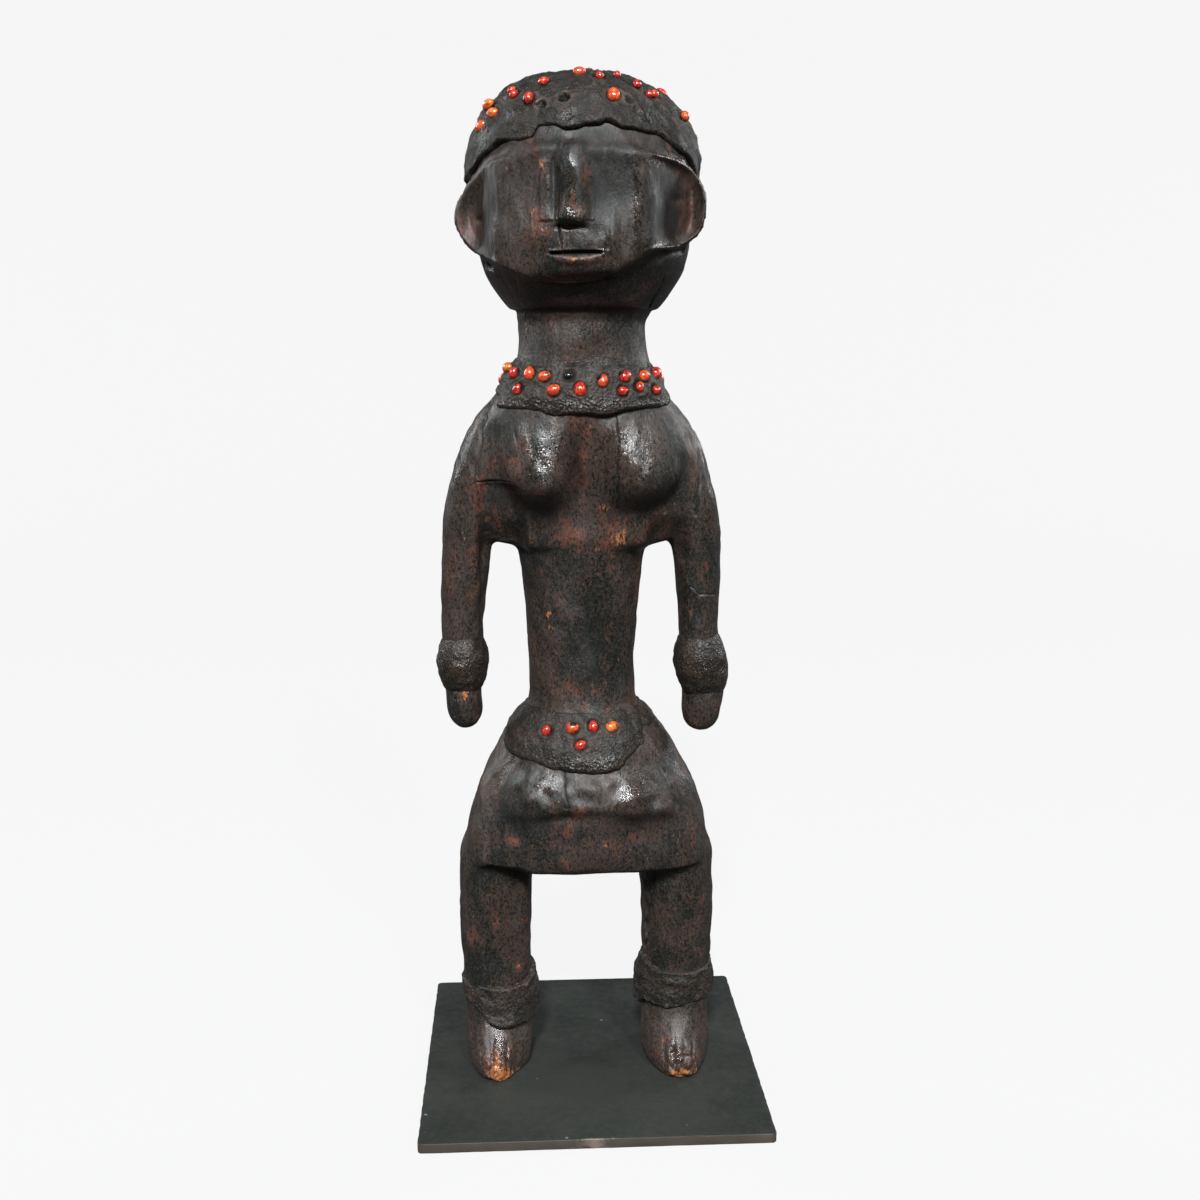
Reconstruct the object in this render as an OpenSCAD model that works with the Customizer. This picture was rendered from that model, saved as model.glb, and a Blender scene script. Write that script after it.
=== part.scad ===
// A carved standing figure with moulded paste ornaments and inlaid seeds, on a pinned steel plate.
// The origin is the centre of the plate's underside, +Z is up and the figure faces -Y.
// The figure's own left side is +X. All sizes are in millimetres.

/* [Base plate] */
// Side of the square steel plate
plate_w = 140; // [130:1:200]
// Thickness of the plate
plate_t = 4; // [3:0.5:10]
// Radius of the plate's upright corners
plate_corner_r = 2; // [0.5:0.5:8]

/* [Mounting pins] */
// Diameter of each pin
pin_d = 4; // [3:0.5:6]
// Height of each pin above the plate
pin_stand = 30; // [15:1:40]
// Gap all round between a pin and its bore in the foot
pin_clearance = 0.08; // [0.02:0.01:0.1]
// Depth of the bore past the pin's tip
bore_spare = 1.5; // [0.5:0.5:5]

/* [Legs and feet] */
// Height of the legs, from the soles to the underside of the pelvis
leg_h = 89; // [74:1:108]
// Distance between the middles of the legs
leg_spacing = 75.5; // [72:0.5:85]
// Width of each leg
leg_w = 30; // [26:0.5:32]
// Depth of each leg, front to back
leg_d = 32; // [28:0.5:36]
// Height of the instep, where the foot meets the ankle
instep_h = 24; // [20:1:30]
// Reach of the toes in front of the leg's middle
toe_reach = 29; // [22:0.5:34]
// Reach of the heel behind the leg's middle
heel_reach = 23; // [19:0.5:30]

/* [Trunk] */
// Height from the underside of the pelvis to the waist
pelvis_h = 71; // [60:1:84]
// Height from the waist to the armpits
waist_h = 62; // [50:1:75]
// Height from the armpits to the base of the neck
chest_h = 76; // [66:1:90]
// Width of the hips
hip_w = 102; // [96:1:110]
// Depth of the pelvis, front to back
hip_d = 68; // [60:1:76]
// Width of the waist
waist_w = 44; // [38:1:52]
// Depth of the waist, front to back
waist_d = 38; // [34:1:46]
// Width of the chest under the shoulders
chest_w = 84; // [76:1:92]
// Depth of the chest, front to back
chest_d = 48; // [42:1:54]
// How far each breast stands out of the chest
breast_out = 9; // [5:0.5:12]
// Sideways lean of the trunk away from the legs' centre line
trunk_lean = -2.2; // [-4:0.1:4]

/* [Arms and hands] */
// Distance between the middles of the forearms
arm_spacing = 97; // [94:0.5:104]
// Width of each forearm
forearm_w = 16.5; // [14:0.5:18]
// Width of each upper arm
upper_arm_w = 25; // [22:0.5:27]
// Length of each hand below the wrist cuff
hand_l = 16; // [13:0.5:20]
// Length of the forearm between the armpit's height and the wrist cuff
forearm_l = 37; // [30:0.5:45]

/* [Neck and head] */
// Height of the neck from its base to the underside of the jaw
neck_h = 18; // [14:1:30]
// Diameter of the neck
neck_d = 50; // [42:1:60]
// Height of the head from the jaw to the crown
head_h = 87; // [80:1:96]
// Width of the head without its ears
head_w = 86; // [72:1:104]
// Depth of the head, front to back
head_d = 86; // [78:1:94]
// Angle by which the head is turned to the figure's right
head_turn = 8; // [0:1:15]
// How far the right ear stands out of the side of the head
right_ear_out = 9; // [5:0.5:12]
// How far the left ear stands out of the side of the head
left_ear_out = 6; // [5:0.5:12]
// Height of each ear
ear_h = 36; // [30:1:44]

/* [Paste ornaments] */
// Thickness of the cap of paste on the crown
crown_t = 3; // [2.5:0.25:4]
// Height of the cap's edge above the jaw, at the forehead
crown_edge_h = 62; // [58:1:66]
// Thickness of the collar
collar_t = 3; // [2.5:0.25:4]
// Height of the collar
collar_h = 18; // [15:1:24]
// Thickness of the girdle
girdle_t = 3; // [2.5:0.25:4]
// Height of the girdle at the front
girdle_h = 20; // [18:1:26]
// Thickness of the cuffs on the wrists
wrist_cuff_t = 3; // [2:0.25:3.5]
// Height of the cuffs on the wrists
wrist_cuff_h = 21; // [16:1:24]
// Thickness of the cuffs on the ankles
ankle_cuff_t = 2.5; // [1.5:0.25:3.5]
// Height of the cuffs on the ankles
ankle_cuff_h = 14; // [12:1:18]

/* [Seeds] */
// Length of a seed
seed_l = 6; // [5:0.1:6.6]
// Diameter of a seed
seed_d = 4.8; // [4:0.1:5.2]
// How far a seed's middle stands out of the paste
seed_out = 0.8; // [0.7:0.1:1.2]
// Gap all round between a seed and its socket
seed_gap = 0.1; // [0.05:0.05:0.3]

/* [Hidden] */
FAR = 200;
CORE = 4;
RING_SIDES = 28;
LIMB_SIDES = 16;
ROW_STEPS = 2;
EDGE_BEADS = 20;
CUFF_LUMPS = 10;
SOCKET_SIDES = 12;
TOE_GAP = 1.2;
COLLAR_REAR_COUNT = 9;

// Heights of the figure's main levels, above its soles
waist_z = leg_h + pelvis_h;
armpit_z = waist_z + waist_h;
neck_z = armpit_z + chest_h;
jaw_z = neck_z + neck_h;
crown_z = jaw_z + head_h;
wrist_z = armpit_z - forearm_l;
hand_z = wrist_z - wrist_cuff_h - hand_l;
ankle_z = instep_h - 2;
legs_x = -1;
trunk_x = legs_x + trunk_lean;
head_x = trunk_x + 1.2;
breast_z = armpit_z + chest_h * 0.38;
ear_z = jaw_z + head_h * 0.4;
brow_z = jaw_z + head_h * 0.62;
nose_z = jaw_z + head_h * 0.38;
mouth_z = jaw_z + head_h * 0.22;
nose_w = 15;
mouth_w = 21;
face_y = head_d * 0.455;

// Lower and upper limits of the paste, as heights that wander round the figure
collar_low_z = armpit_z + chest_h * 0.72;
girdle_low_z = leg_h + pelvis_h * 0.66;
crown_drop = 13;
crown_edge = function (t)
    jaw_z + crown_edge_h - crown_drop * pow(sin(min(t, 360 - t, 90)), 3) + sin(t * 5) + 0.6 * sin(t * 9 + 40);
crown_top = function (t) crown_z + FAR;
collar_low = function (t) collar_low_z + 4 * pow(sin(t), 2) + sin(t * 6 + 20);
collar_high = function (t) collar_low_z + collar_h + 0.7 * sin(t * 4);
girdle_low = function (t) girdle_low_z + 3 * pow(sin(t), 2) + 1.2 * sin(t * 5 + 90);
girdle_high = function (t) girdle_low_z + girdle_h + 0.8 * sin(t * 7);

// ---- Sections: [height, half width, reach forward, reach back, squareness, x, y] ----
function neck_row(z) = [z, neck_d / 2, neck_d * 0.46, neck_d * 0.52, 2, 0, 0];

trunk_rows = [
    [leg_h, hip_w * 0.47, hip_d * 0.34, hip_d * 0.4, 3, legs_x - trunk_x, 2],
    [leg_h + 5, hip_w * 0.5, hip_d * 0.42, hip_d * 0.48, 2.8, legs_x - trunk_x, 2],
    [leg_h + pelvis_h * 0.25, hip_w * 0.5, hip_d * 0.46, hip_d * 0.54, 2.5, 0.8, 2],
    [leg_h + pelvis_h * 0.45, mix(waist_w, hip_w, 0.87) / 2, hip_d * 0.44, hip_d * 0.54, 2.3, 0.8, 2],
    [leg_h + pelvis_h * 0.7, mix(waist_w, hip_w, 0.55) / 2, hip_d * 0.38, hip_d * 0.45, 2.2, 0.3, 1],
    [leg_h + pelvis_h * 0.86, mix(waist_w, hip_w, 0.22) / 2, waist_d * 0.55, waist_d * 0.62, 2.1, 0, 0],
    [waist_z + 4, waist_w / 2, waist_d * 0.48, waist_d * 0.54, 2.1, 0, 0],
    [waist_z + waist_h * 0.5, waist_w * 0.515, waist_d * 0.5, waist_d * 0.54, 2.2, 0, 0],
    [armpit_z - 4, waist_w * 0.57, chest_d * 0.42, chest_d * 0.47, 2.3, 0, 0],
    [armpit_z + 2, chest_w * 0.36, chest_d * 0.43, chest_d * 0.49, 2.4, 0, 0],
    [armpit_z + chest_h * 0.12, chest_w * 0.45, chest_d * 0.45, chest_d * 0.52, 2.5, 0, 0],
    [armpit_z + chest_h * 0.38, chest_w * 0.48, chest_d * 0.48, chest_d * 0.54, 2.5, 0, 0],
    [armpit_z + chest_h * 0.58, chest_w * 0.5, chest_d * 0.5, chest_d * 0.54, 2.4, 0, 0],
    [armpit_z + chest_h * 0.72, mix(neck_d, chest_w, 0.72) / 2, chest_d * 0.5, chest_d * 0.54, 2.2, 0, 0],
    [armpit_z + chest_h * 0.86, mix(neck_d, chest_w, 0.3) / 2, chest_d * 0.5, chest_d * 0.54, 2.1, 0, 0],
    neck_row(neck_z),
    neck_row(neck_z + neck_h * 0.5),
    neck_row(jaw_z + 8)
];

head_rows = [
    [jaw_z - 2, head_w * 0.26, head_d * 0.22, head_d * 0.28, 2, 0, 0],
    [jaw_z + head_h * 0.04, head_w * 0.37, head_d * 0.33, head_d * 0.37, 2, 0, 0],
    [jaw_z + head_h * 0.13, head_w * 0.44, head_d * 0.42, head_d * 0.44, 2.1, 0, 0],
    [jaw_z + head_h * 0.22, head_w * 0.48, head_d * 0.455, head_d * 0.48, 2.3, 0, 0],
    [jaw_z + head_h * 0.34, head_w * 0.495, head_d * 0.455, head_d * 0.5, 2.5, 0, 0],
    [jaw_z + head_h * 0.48, head_w * 0.5, head_d * 0.45, head_d * 0.51, 2.5, 0, 0],
    [jaw_z + head_h * 0.6, head_w * 0.5, head_d * 0.465, head_d * 0.51, 2.3, 0, 0],
    [jaw_z + head_h * 0.72, head_w * 0.49, head_d * 0.48, head_d * 0.5, 2.1, 0, 0],
    [jaw_z + head_h * 0.82, head_w * 0.45, head_d * 0.45, head_d * 0.465, 2, 0, 0],
    [jaw_z + head_h * 0.9, head_w * 0.38, head_d * 0.385, head_d * 0.39, 2, 0, 0],
    [jaw_z + head_h * 0.955, head_w * 0.28, head_d * 0.29, head_d * 0.29, 2, 0, 0],
    [jaw_z + head_h * 0.985, head_w * 0.17, head_d * 0.17, head_d * 0.17, 2, 0, 0],
    [crown_z, head_w * 0.05, head_d * 0.05, head_d * 0.05, 2, 0, 0]
];

leg_rows = [
    [0, leg_w * 0.42, toe_reach - 2, heel_reach - 2, 1.8, 0, 0],
    [3, leg_w * 0.46, toe_reach, heel_reach, 1.8, 0, 0],
    [instep_h * 0.4, leg_w * 0.47, toe_reach - 3, heel_reach - 1, 1.9, 0, 0],
    [instep_h * 0.7, leg_w * 0.47, mix(leg_d / 2, toe_reach, 0.4), mix(leg_d / 2, heel_reach, 0.5), 2, 0, 0],
    [instep_h, leg_w * 0.47, leg_d * 0.5, leg_d * 0.54, 2.1, 0, 0],
    [mix(instep_h, leg_h, 0.3), leg_w * 0.48, leg_d * 0.48, leg_d * 0.53, 2.2, 0, 0],
    [mix(instep_h, leg_h, 0.6), leg_w * 0.5, leg_d * 0.5, leg_d * 0.55, 2.2, 0, 0],
    [leg_h + 2, leg_w * 0.5, leg_d * 0.52, leg_d * 0.56, 2.2, -0.5, 0],
    [leg_h + 12, leg_w * 0.45, leg_d * 0.45, leg_d * 0.5, 2.2, -1.5, 0]
];

// The arm hangs from the shoulder; x is measured outwards from the forearm's middle.
arm_rows = [
    [hand_z, 4, 5, 5, 2, -1, -1],
    [hand_z + 2.5, 6, 7, 7, 2, -0.5, -1],
    [hand_z + hand_l * 0.5, 7.2, 8.5, 8.5, 2.1, -0.2, -1],
    [wrist_z - wrist_cuff_h, forearm_w * 0.46, 8.5, 8.5, 2.1, 0, -0.5],
    [wrist_z, forearm_w * 0.49, 9, 9, 2.1, 0, 0],
    [wrist_z + forearm_l * 0.5, forearm_w * 0.52, 9.5, 10, 2.1, -0.5, 0],
    [armpit_z, mix(forearm_w, upper_arm_w, 0.6) / 2, 11, 12, 2.1, -1.5, 0],
    [armpit_z + chest_h * 0.24, upper_arm_w * 0.48, 13, 14, 2.2, -5, 0],
    [armpit_z + chest_h * 0.42, upper_arm_w * 0.52, 15, 16, 2.2, -10, 0],
    [armpit_z + chest_h * 0.6, upper_arm_w * 0.52, 16, 17, 2.1, -16, 0],
    [armpit_z + chest_h * 0.72, upper_arm_w * 0.44, 14, 15, 2, -20, 0],
    [armpit_z + chest_h * 0.8, upper_arm_w * 0.25, 8, 9, 2, -23, 0]
];

// Seeds on the front: [turn from straight ahead, height above the band's lower edge, roll]
girdle_seeds = [[-27, 14.5, 20], [-8, 16, 70], [6, 16.5, 5], [20, 16, 80], [-2, 9.5, 60]];
collar_seeds = [
    [-69, 17, 80], [-57, 15, 20], [-40, 15, 0], [-27, 14, 70], [-18, 9, 60], [-45, 9, 30],
    [-10, 14.5, 90], [-2, 9.5, 0], [12, 12.5, 20], [29, 14, 60], [24, 8.5, 90], [38, 10, 10],
    [47, 14, 80], [53, 8.5, 70], [66, 15, 60]
];
// [turn from straight ahead, height below the crown, roll]
crown_seeds = [
    [3, 6.5, 80], [-18, 10, 60], [-23, 16, 10], [-34, 14, 40], [-45, 9.5, 0], [-59, 14, 60],
    [-44, 20, 80], [-61, 22, 50], [21, 15.5, 5], [16, 8, 0], [29, 7, 20], [20, 2.5, 60], [42, 8, 20],
    [43, 14, 60], [58, 10.5, 80], [71, 18, 40]
];
crown_rear_seeds = [for (i = [0:13]) [92 + i * 14, 8 + 6 * (i % 3), i * 37]];
collar_rear_seeds = [
    for (i = [0:COLLAR_REAR_COUNT - 1]) [90 + i * 180 / (COLLAR_REAR_COUNT - 1), 13 + 3 * (i % 2), i * 50]
];
all_collar_seeds = concat(collar_seeds, collar_rear_seeds);

function numbered(word, count) = [for (i = [1:count]) str(word, i)];
girdle_names = numbered("girdle_seed_", len(girdle_seeds));
collar_names = numbered("collar_seed_", len(all_collar_seeds));
crown_names = numbered("crown_seed_", len(crown_seeds));

wood = [0.17, 0.11, 0.08];
paste = [0.12, 0.09, 0.07];
seed_red = [0.75, 0.1, 0.05];
seed_orange = [0.85, 0.3, 0.08];
painted_steel = [0.1, 0.11, 0.1];
bare_steel = [0.6, 0.6, 0.62];

// ---- Numbers and lofts ----
function mix(a, b, t) = a + (b - a) * t;

// Slope of column c of the rows against height at row i
function slope(rows, i, c) =
    let (lo = max(i - 1, 0), hi = min(i + 1, len(rows) - 1))
    (rows[hi][c] - rows[lo][c]) / (rows[hi][0] - rows[lo][0]);

function eased(a, b, slope_a, slope_b, t) =
    a * (1 + 2 * t) * pow(1 - t, 2) + slope_a * t * pow(1 - t, 2)
    + b * t * t * (3 - 2 * t) - slope_b * t * t * (1 - t);

// The rows with smooth rows put between them
function fair(rows, steps) = [
    for (i = [0:len(rows) - 2], j = [0:steps - 1])
        let (rise = rows[i + 1][0] - rows[i][0], t = j / steps)
        [for (c = [0:6]) c == 0 ? rows[i][0] + rise * t :
            eased(rows[i][c], rows[i + 1][c], slope(rows, i, c) * rise, slope(rows, i + 1, c) * rise, t)],
    rows[len(rows) - 1]
];

// A point on a section: turn is 0 at the front and grows towards +X
function rim(row, turn, out = 0) =
    let (c = sin(turn), s = -cos(turn), power = 2 / row[4])
    [
        row[5] + (row[1] + out) * sign(c) * pow(abs(c), power),
        row[6] + (s < 0 ? row[2] + out : row[3] + out) * sign(s) * pow(abs(s), power),
        row[0]
    ];

function row_at(rows, z) = [
    for (c = [0:6]) c == 0 ? z : lookup(z, [for (r = rows) [r[0], r[c]]])
];

// A point on the skin of the rows, and the direction straight out of it
function skin(rows, turn, z) = rim(row_at(rows, z), turn);
function skin_out(rows, turn, z) =
    let (across = skin(rows, turn + 2, z) - skin(rows, turn - 2, z))
    let (up = skin(rows, turn, z + 1) - skin(rows, turn, z - 1))
    let (out = cross(across, up))
    out / norm(out);

// Every row grown outwards, with the top row lifted as well
function grown(rows, out) = [
    for (i = [0:len(rows) - 1]) let (r = rows[i], lift = i > len(rows) - 6 ? out * (i - len(rows) + 6) / 5 : 0)
        [r[0] + lift, r[1] + out, r[2] + out, r[3] + out, r[4], r[5], r[6]]
];

trunk_skin = fair(trunk_rows, ROW_STEPS);
head_skin = fair(head_rows, ROW_STEPS);
crown_skin = fair(grown(head_rows, crown_t), ROW_STEPS);
collar_skin = grown(trunk_skin, collar_t);
girdle_skin = grown(trunk_skin, girdle_t);

function ring_faces(rings, sides) = concat(
    [[for (i = [0:sides - 1]) i]],
    [for (k = [0:rings - 2], i = [0:sides - 1], half = [0, 1])
        let (a = k * sides + i, b = k * sides + (i + 1) % sides)
        half == 0 ? [a, a + sides, b + sides] : [a, b + sides, b]],
    [[for (i = [0:sides - 1]) rings * sides - 1 - i]]
);

module loft(rows, sides = RING_SIDES) {
    points = [for (r = rows, i = [0:sides - 1]) rim(r, i * 360 / sides)];
    polyhedron(points, ring_faces(len(rows), sides), convexity = 6);
}

// The space between two heights that wander as they go round
module wavy_band(low, high) {
    rings = [[CORE, 0, 0], [CORE * 2, 0, 1], [FAR, 0, 1], [FAR, 1, 1], [CORE * 2, 1, 1], [CORE, 1, 0]];
    points = [
        for (ring = rings, i = [0:RING_SIDES - 1])
            let (t = i * 360 / RING_SIDES, wander = t * ring[2])
            [ring[0] * sin(t), -ring[0] * cos(t), ring[1] == 0 ? low(wander) : high(wander)]
    ];
    polyhedron(points, ring_faces(len(rings), RING_SIDES), convexity = 4);
}

// ---- The wood ----
module on_legs(side) {
    translate([legs_x + side * leg_spacing / 2, 0, 0])
        mirror([side < 0 ? 1 : 0, 0, 0])
        children();
}

module on_arm(side) {
    translate([trunk_x + side * arm_spacing / 2, 0, 0])
        mirror([side < 0 ? 1 : 0, 0, 0])
        children();
}

module on_head() {
    translate([head_x, 0, 0])
        rotate([0, 0, -head_turn])
        children();
}

module leg() {
    difference() {
        loft(fair(leg_rows, ROW_STEPS), LIMB_SIDES);
        for (x = [-leg_w / 7, leg_w / 7])
            translate([x, -toe_reach, 0])
            rotate([-20, 0, 0])
            cube([TOE_GAP, toe_reach / 2, instep_h / 2], center = true);
    }
}

module breasts() {
    for (side = [-1, 1])
        translate([side * chest_w * 0.21, -chest_d / 2 + breast_out, breast_z])
        scale([chest_w * 0.2, breast_out * 1.9, chest_h * 0.23])
        sphere(1, $fn = 20);
}

module ear(ear_out) {
    difference() {
        translate([head_w / 2 - 3, 2, ear_z])
            scale([ear_out + 3, ear_h * 0.26, ear_h / 2])
            sphere(1, $fn = 22);
        translate([head_w / 2 + 2, -ear_h * 0.2, ear_z])
            scale([ear_out * 0.5, ear_h * 0.27, ear_h * 0.34])
            sphere(1, $fn = 20);
    }
}

module nose() {
    hull() {
        translate([0, 3 - face_y, brow_z])
            sphere(nose_w * 0.25, $fn = 16);
        for (x = [-nose_w * 0.3, nose_w * 0.3])
            translate([x, -face_y - 1, nose_z])
            sphere(nose_w * 0.25, $fn = 16);
    }
}

module lips() {
    difference() {
        translate([0, 2 - face_y, mouth_z])
            scale([mouth_w * 0.62, 6, 9])
            sphere(1, $fn = 20);
        translate([0, -face_y - 3, mouth_z])
            cube([mouth_w, 8, 2], center = true);
    }
}

module head() {
    difference() {
        loft(head_skin);
        translate([0, -face_y, mouth_z])
            cube([mouth_w, 5, 2], center = true);
    }
    ear(left_ear_out);
    mirror([1, 0, 0])
        ear(right_ear_out);
    nose();
    lips();
}

// The whole block, without the bores for the pins
module carving() {
    for (side = [-1, 1]) {
        on_legs(side)
            leg();
        on_arm(side)
            loft(fair(arm_rows, ROW_STEPS), LIMB_SIDES);
    }
    translate([trunk_x, 0, 0]) {
        loft(trunk_skin);
        breasts();
    }
    on_head()
        head();
}

module carved_figure() {
    color(wood)
    translate([0, 0, plate_t])
    difference() {
        resize([0, 0, crown_z])
            carving();
        for (side = [-1, 1])
            on_legs(side)
            translate([0, 0, -1])
            cylinder(h = 1 + pin_stand + bore_spare, r = pin_d / 2 + pin_clearance, $fn = 48);
    }
}

// ---- Seeds ----
module seed_shape(radius, half_l, steps, sides) {
    outline = [for (i = [0:steps]) let (a = i * 180 / steps) [sin(a) * radius, -cos(a) * half_l]];
    rotate_extrude($fn = sides)
        polygon(outline);
}

module seed() {
    seed_shape(seed_d / 2, seed_l / 2, 12, 24);
}

// The hollow that a seed sits in, drawn outside the gap so that its flats stay clear of the seed
module socket() {
    spread = 1 / pow(cos(180 / SOCKET_SIDES), 2);
    seed_shape((seed_d / 2 + seed_gap) * spread, (seed_l / 2 + seed_gap) * spread, SOCKET_SIDES / 2, SOCKET_SIDES);
}

// Puts a seed on a skin: its middle stands seed_out above it and it lies along the surface
module on_skin(rows, turn, z, roll) {
    out = skin_out(rows, turn, z);
    level = cross([0, 0, 1], out) / norm(cross([0, 0, 1], out));
    along = cos(roll) * cross(out, level) + sin(roll) * level;
    across = cross(out, along);
    spot = skin(rows, turn, z) + out * seed_out;
    multmatrix([for (i = [0:2]) [across[i], out[i], along[i], spot[i]]])
        children();
}

module on_girdle(s) {
    translate([trunk_x, 0, 0])
        on_skin(girdle_skin, s[0], girdle_low_z + s[1], s[2])
        children();
}

module on_collar(s) {
    translate([trunk_x, 0, 0])
        on_skin(collar_skin, s[0], collar_low_z + s[1], s[2])
        children();
}

module on_crown(s) {
    on_head()
        on_skin(crown_skin, s[0], crown_z + crown_t - s[1], s[2])
        children();
}

module girdle_seed(i) {
    color(i % 2 == 0 ? seed_red : seed_orange)
        translate([0, 0, plate_t])
        on_girdle(girdle_seeds[i])
        seed();
}

module collar_seed(i) {
    color(i % 3 == 1 ? seed_orange : seed_red)
        translate([0, 0, plate_t])
        on_collar(all_collar_seeds[i])
        seed();
}

module crown_seed(i) {
    color(i % 2 == 0 ? seed_orange : seed_red)
        translate([0, 0, plate_t])
        on_crown(crown_seeds[i])
        seed();
}

module crown_seeds_rear() {
    color(seed_red)
    translate([0, 0, plate_t])
    for (s = crown_rear_seeds)
        on_crown(s)
        seed();
}

// ---- Paste ----
// A roll of paste along a wandering edge
module edge_roll(rows, height, thick) {
    for (i = [0:EDGE_BEADS - 1])
        hull()
            for (j = [i, i + 1]) {
                t = j * 360 / EDGE_BEADS;
                translate(skin(rows, t, height(t)))
                    sphere(thick * (0.8 + 0.15 * sin(t * 7)), $fn = 8);
            }
}

module crown_cap() {
    color(paste)
    translate([0, 0, plate_t])
    difference() {
        on_head() {
            intersection() {
                loft(crown_skin);
                wavy_band(crown_edge, crown_top);
            }
            edge_roll(crown_skin, crown_edge, crown_t * 0.6);
        }
        carving();
        for (s = concat(crown_seeds, crown_rear_seeds))
            on_crown(s)
            socket();
    }
}

module neck_collar() {
    color(paste)
    translate([0, 0, plate_t])
    difference() {
        translate([trunk_x, 0, 0]) {
            intersection() {
                loft(collar_skin);
                wavy_band(collar_low, collar_high);
            }
            edge_roll(collar_skin, collar_low, collar_t * 0.6);
        }
        carving();
        for (s = all_collar_seeds)
            on_collar(s)
            socket();
    }
}

module hip_girdle() {
    color(paste)
    translate([0, 0, plate_t])
    difference() {
        translate([trunk_x, 0, 0]) {
            intersection() {
                loft(girdle_skin);
                wavy_band(girdle_low, girdle_high);
            }
            edge_roll(girdle_skin, girdle_low, girdle_t * 0.6);
        }
        carving();
        for (s = girdle_seeds)
            on_girdle(s)
            socket();
    }
}

// A ring of paste lumps round a limb
module cuff(rows, low, high, thick) {
    middle = (low + high) / 2;
    for (i = [0:CUFF_LUMPS - 1])
        hull()
            for (j = [i, i + 1]) {
                t = j * 360 / CUFF_LUMPS;
                lump = thick + 1 + 0.5 * sin(t * 3);
                translate(skin(rows, t, middle + sin(t * 2)) - skin_out(rows, t, middle))
                    scale([lump, lump, (high - low) / 2])
                    sphere(1, $fn = 12);
            }
}

module wrist_cuff(side) {
    color(paste)
    translate([0, 0, plate_t])
    difference() {
        on_arm(side)
            cuff(arm_rows, wrist_z - wrist_cuff_h, wrist_z, wrist_cuff_t);
        carving();
    }
}

module ankle_cuff(side) {
    color(paste)
    translate([0, 0, plate_t])
    difference() {
        on_legs(side)
            cuff(leg_rows, ankle_z, ankle_z + ankle_cuff_h, ankle_cuff_t);
        carving();
    }
}

module left_wrist_cuff() {
    wrist_cuff(1);
}

module right_wrist_cuff() {
    wrist_cuff(-1);
}

module left_ankle_cuff() {
    ankle_cuff(1);
}

module right_ankle_cuff() {
    ankle_cuff(-1);
}

// ---- Stand ----
module plate_outline() {
    inner = plate_w / 2 - plate_corner_r;
    square([plate_w, 2 * inner], center = true);
    square([2 * inner, plate_w], center = true);
    for (x = [-inner, inner], y = [-inner, inner])
        translate([x, y])
        circle(plate_corner_r, $fn = 48);
}

module base_plate() {
    color(painted_steel)
    difference() {
        linear_extrude(plate_t)
            plate_outline();
        for (side = [-1, 1])
            on_legs(side)
            translate([0, 0, -1])
            cylinder(h = plate_t + 2, r = pin_d / 2, $fn = 48);
    }
}

// A pin through the plate, with its tip broken to a small cone
module mount_pin(side) {
    tip = pin_d / 8;
    color(bare_steel)
    on_legs(side)
    union() {
        cylinder(h = plate_t + pin_stand - tip, r = pin_d / 2, $fn = 48);
        translate([0, 0, plate_t + pin_stand - tip])
            cylinder(h = tip, r1 = pin_d / 2, r2 = pin_d / 2 - tip, $fn = 48);
    }
}

module left_mount_pin() {
    mount_pin(1);
}

module right_mount_pin() {
    mount_pin(-1);
}

carved_figure();
crown_cap();
neck_collar();
hip_girdle();
left_wrist_cuff();
right_wrist_cuff();
left_ankle_cuff();
right_ankle_cuff();
base_plate();
left_mount_pin();
right_mount_pin();
for (i = [0:len(girdle_names) - 1])
    girdle_seed(i);
for (i = [0:len(collar_names) - 1])
    collar_seed(i);
for (i = [0:len(crown_names) - 1])
    crown_seed(i);
crown_seeds_rear();
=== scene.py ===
"""Carved standing doll with paste ornaments and inlaid seeds: the looks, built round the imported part."""

import math

import bmesh
import bpy
import numpy as np
from bpy.props import FloatProperty, FloatVectorProperty, PointerProperty
from mathutils import Euler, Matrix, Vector
from mathutils.bvhtree import BVHTree


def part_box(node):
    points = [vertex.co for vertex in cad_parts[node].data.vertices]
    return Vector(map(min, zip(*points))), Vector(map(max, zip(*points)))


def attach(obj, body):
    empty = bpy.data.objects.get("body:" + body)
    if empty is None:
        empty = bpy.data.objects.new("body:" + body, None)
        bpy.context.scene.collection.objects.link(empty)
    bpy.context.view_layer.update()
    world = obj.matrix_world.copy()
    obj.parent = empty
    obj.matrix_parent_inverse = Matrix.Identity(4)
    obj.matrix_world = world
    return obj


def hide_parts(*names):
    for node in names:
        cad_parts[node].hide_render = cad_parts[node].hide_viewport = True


bl_info = {
    "name": "Carved doll on a stand",
    "version": (1, 0, 0),
    "blender": (4, 5, 0),
    "location": "3D View > Sidebar > Carved doll",
    "description": "Carved figure, paste ornaments, seeds, steel plate and studio",
    "category": "Object",
}

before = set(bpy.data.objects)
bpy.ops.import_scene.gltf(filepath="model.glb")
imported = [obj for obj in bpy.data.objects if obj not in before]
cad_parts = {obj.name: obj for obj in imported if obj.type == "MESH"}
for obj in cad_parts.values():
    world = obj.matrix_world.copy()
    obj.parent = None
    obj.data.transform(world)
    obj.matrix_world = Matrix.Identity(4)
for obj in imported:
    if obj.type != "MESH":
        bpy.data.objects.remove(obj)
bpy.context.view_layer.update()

# The figure is drawn in millimetres above its soles and scaled to the height that the part has.
DRAWN_HEIGHT = 403.0
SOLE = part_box("base_plate")[1].z
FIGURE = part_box("carved_figure")
UNIT = (FIGURE[1].z - FIGURE[0].z) / DRAWN_HEIGHT
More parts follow.
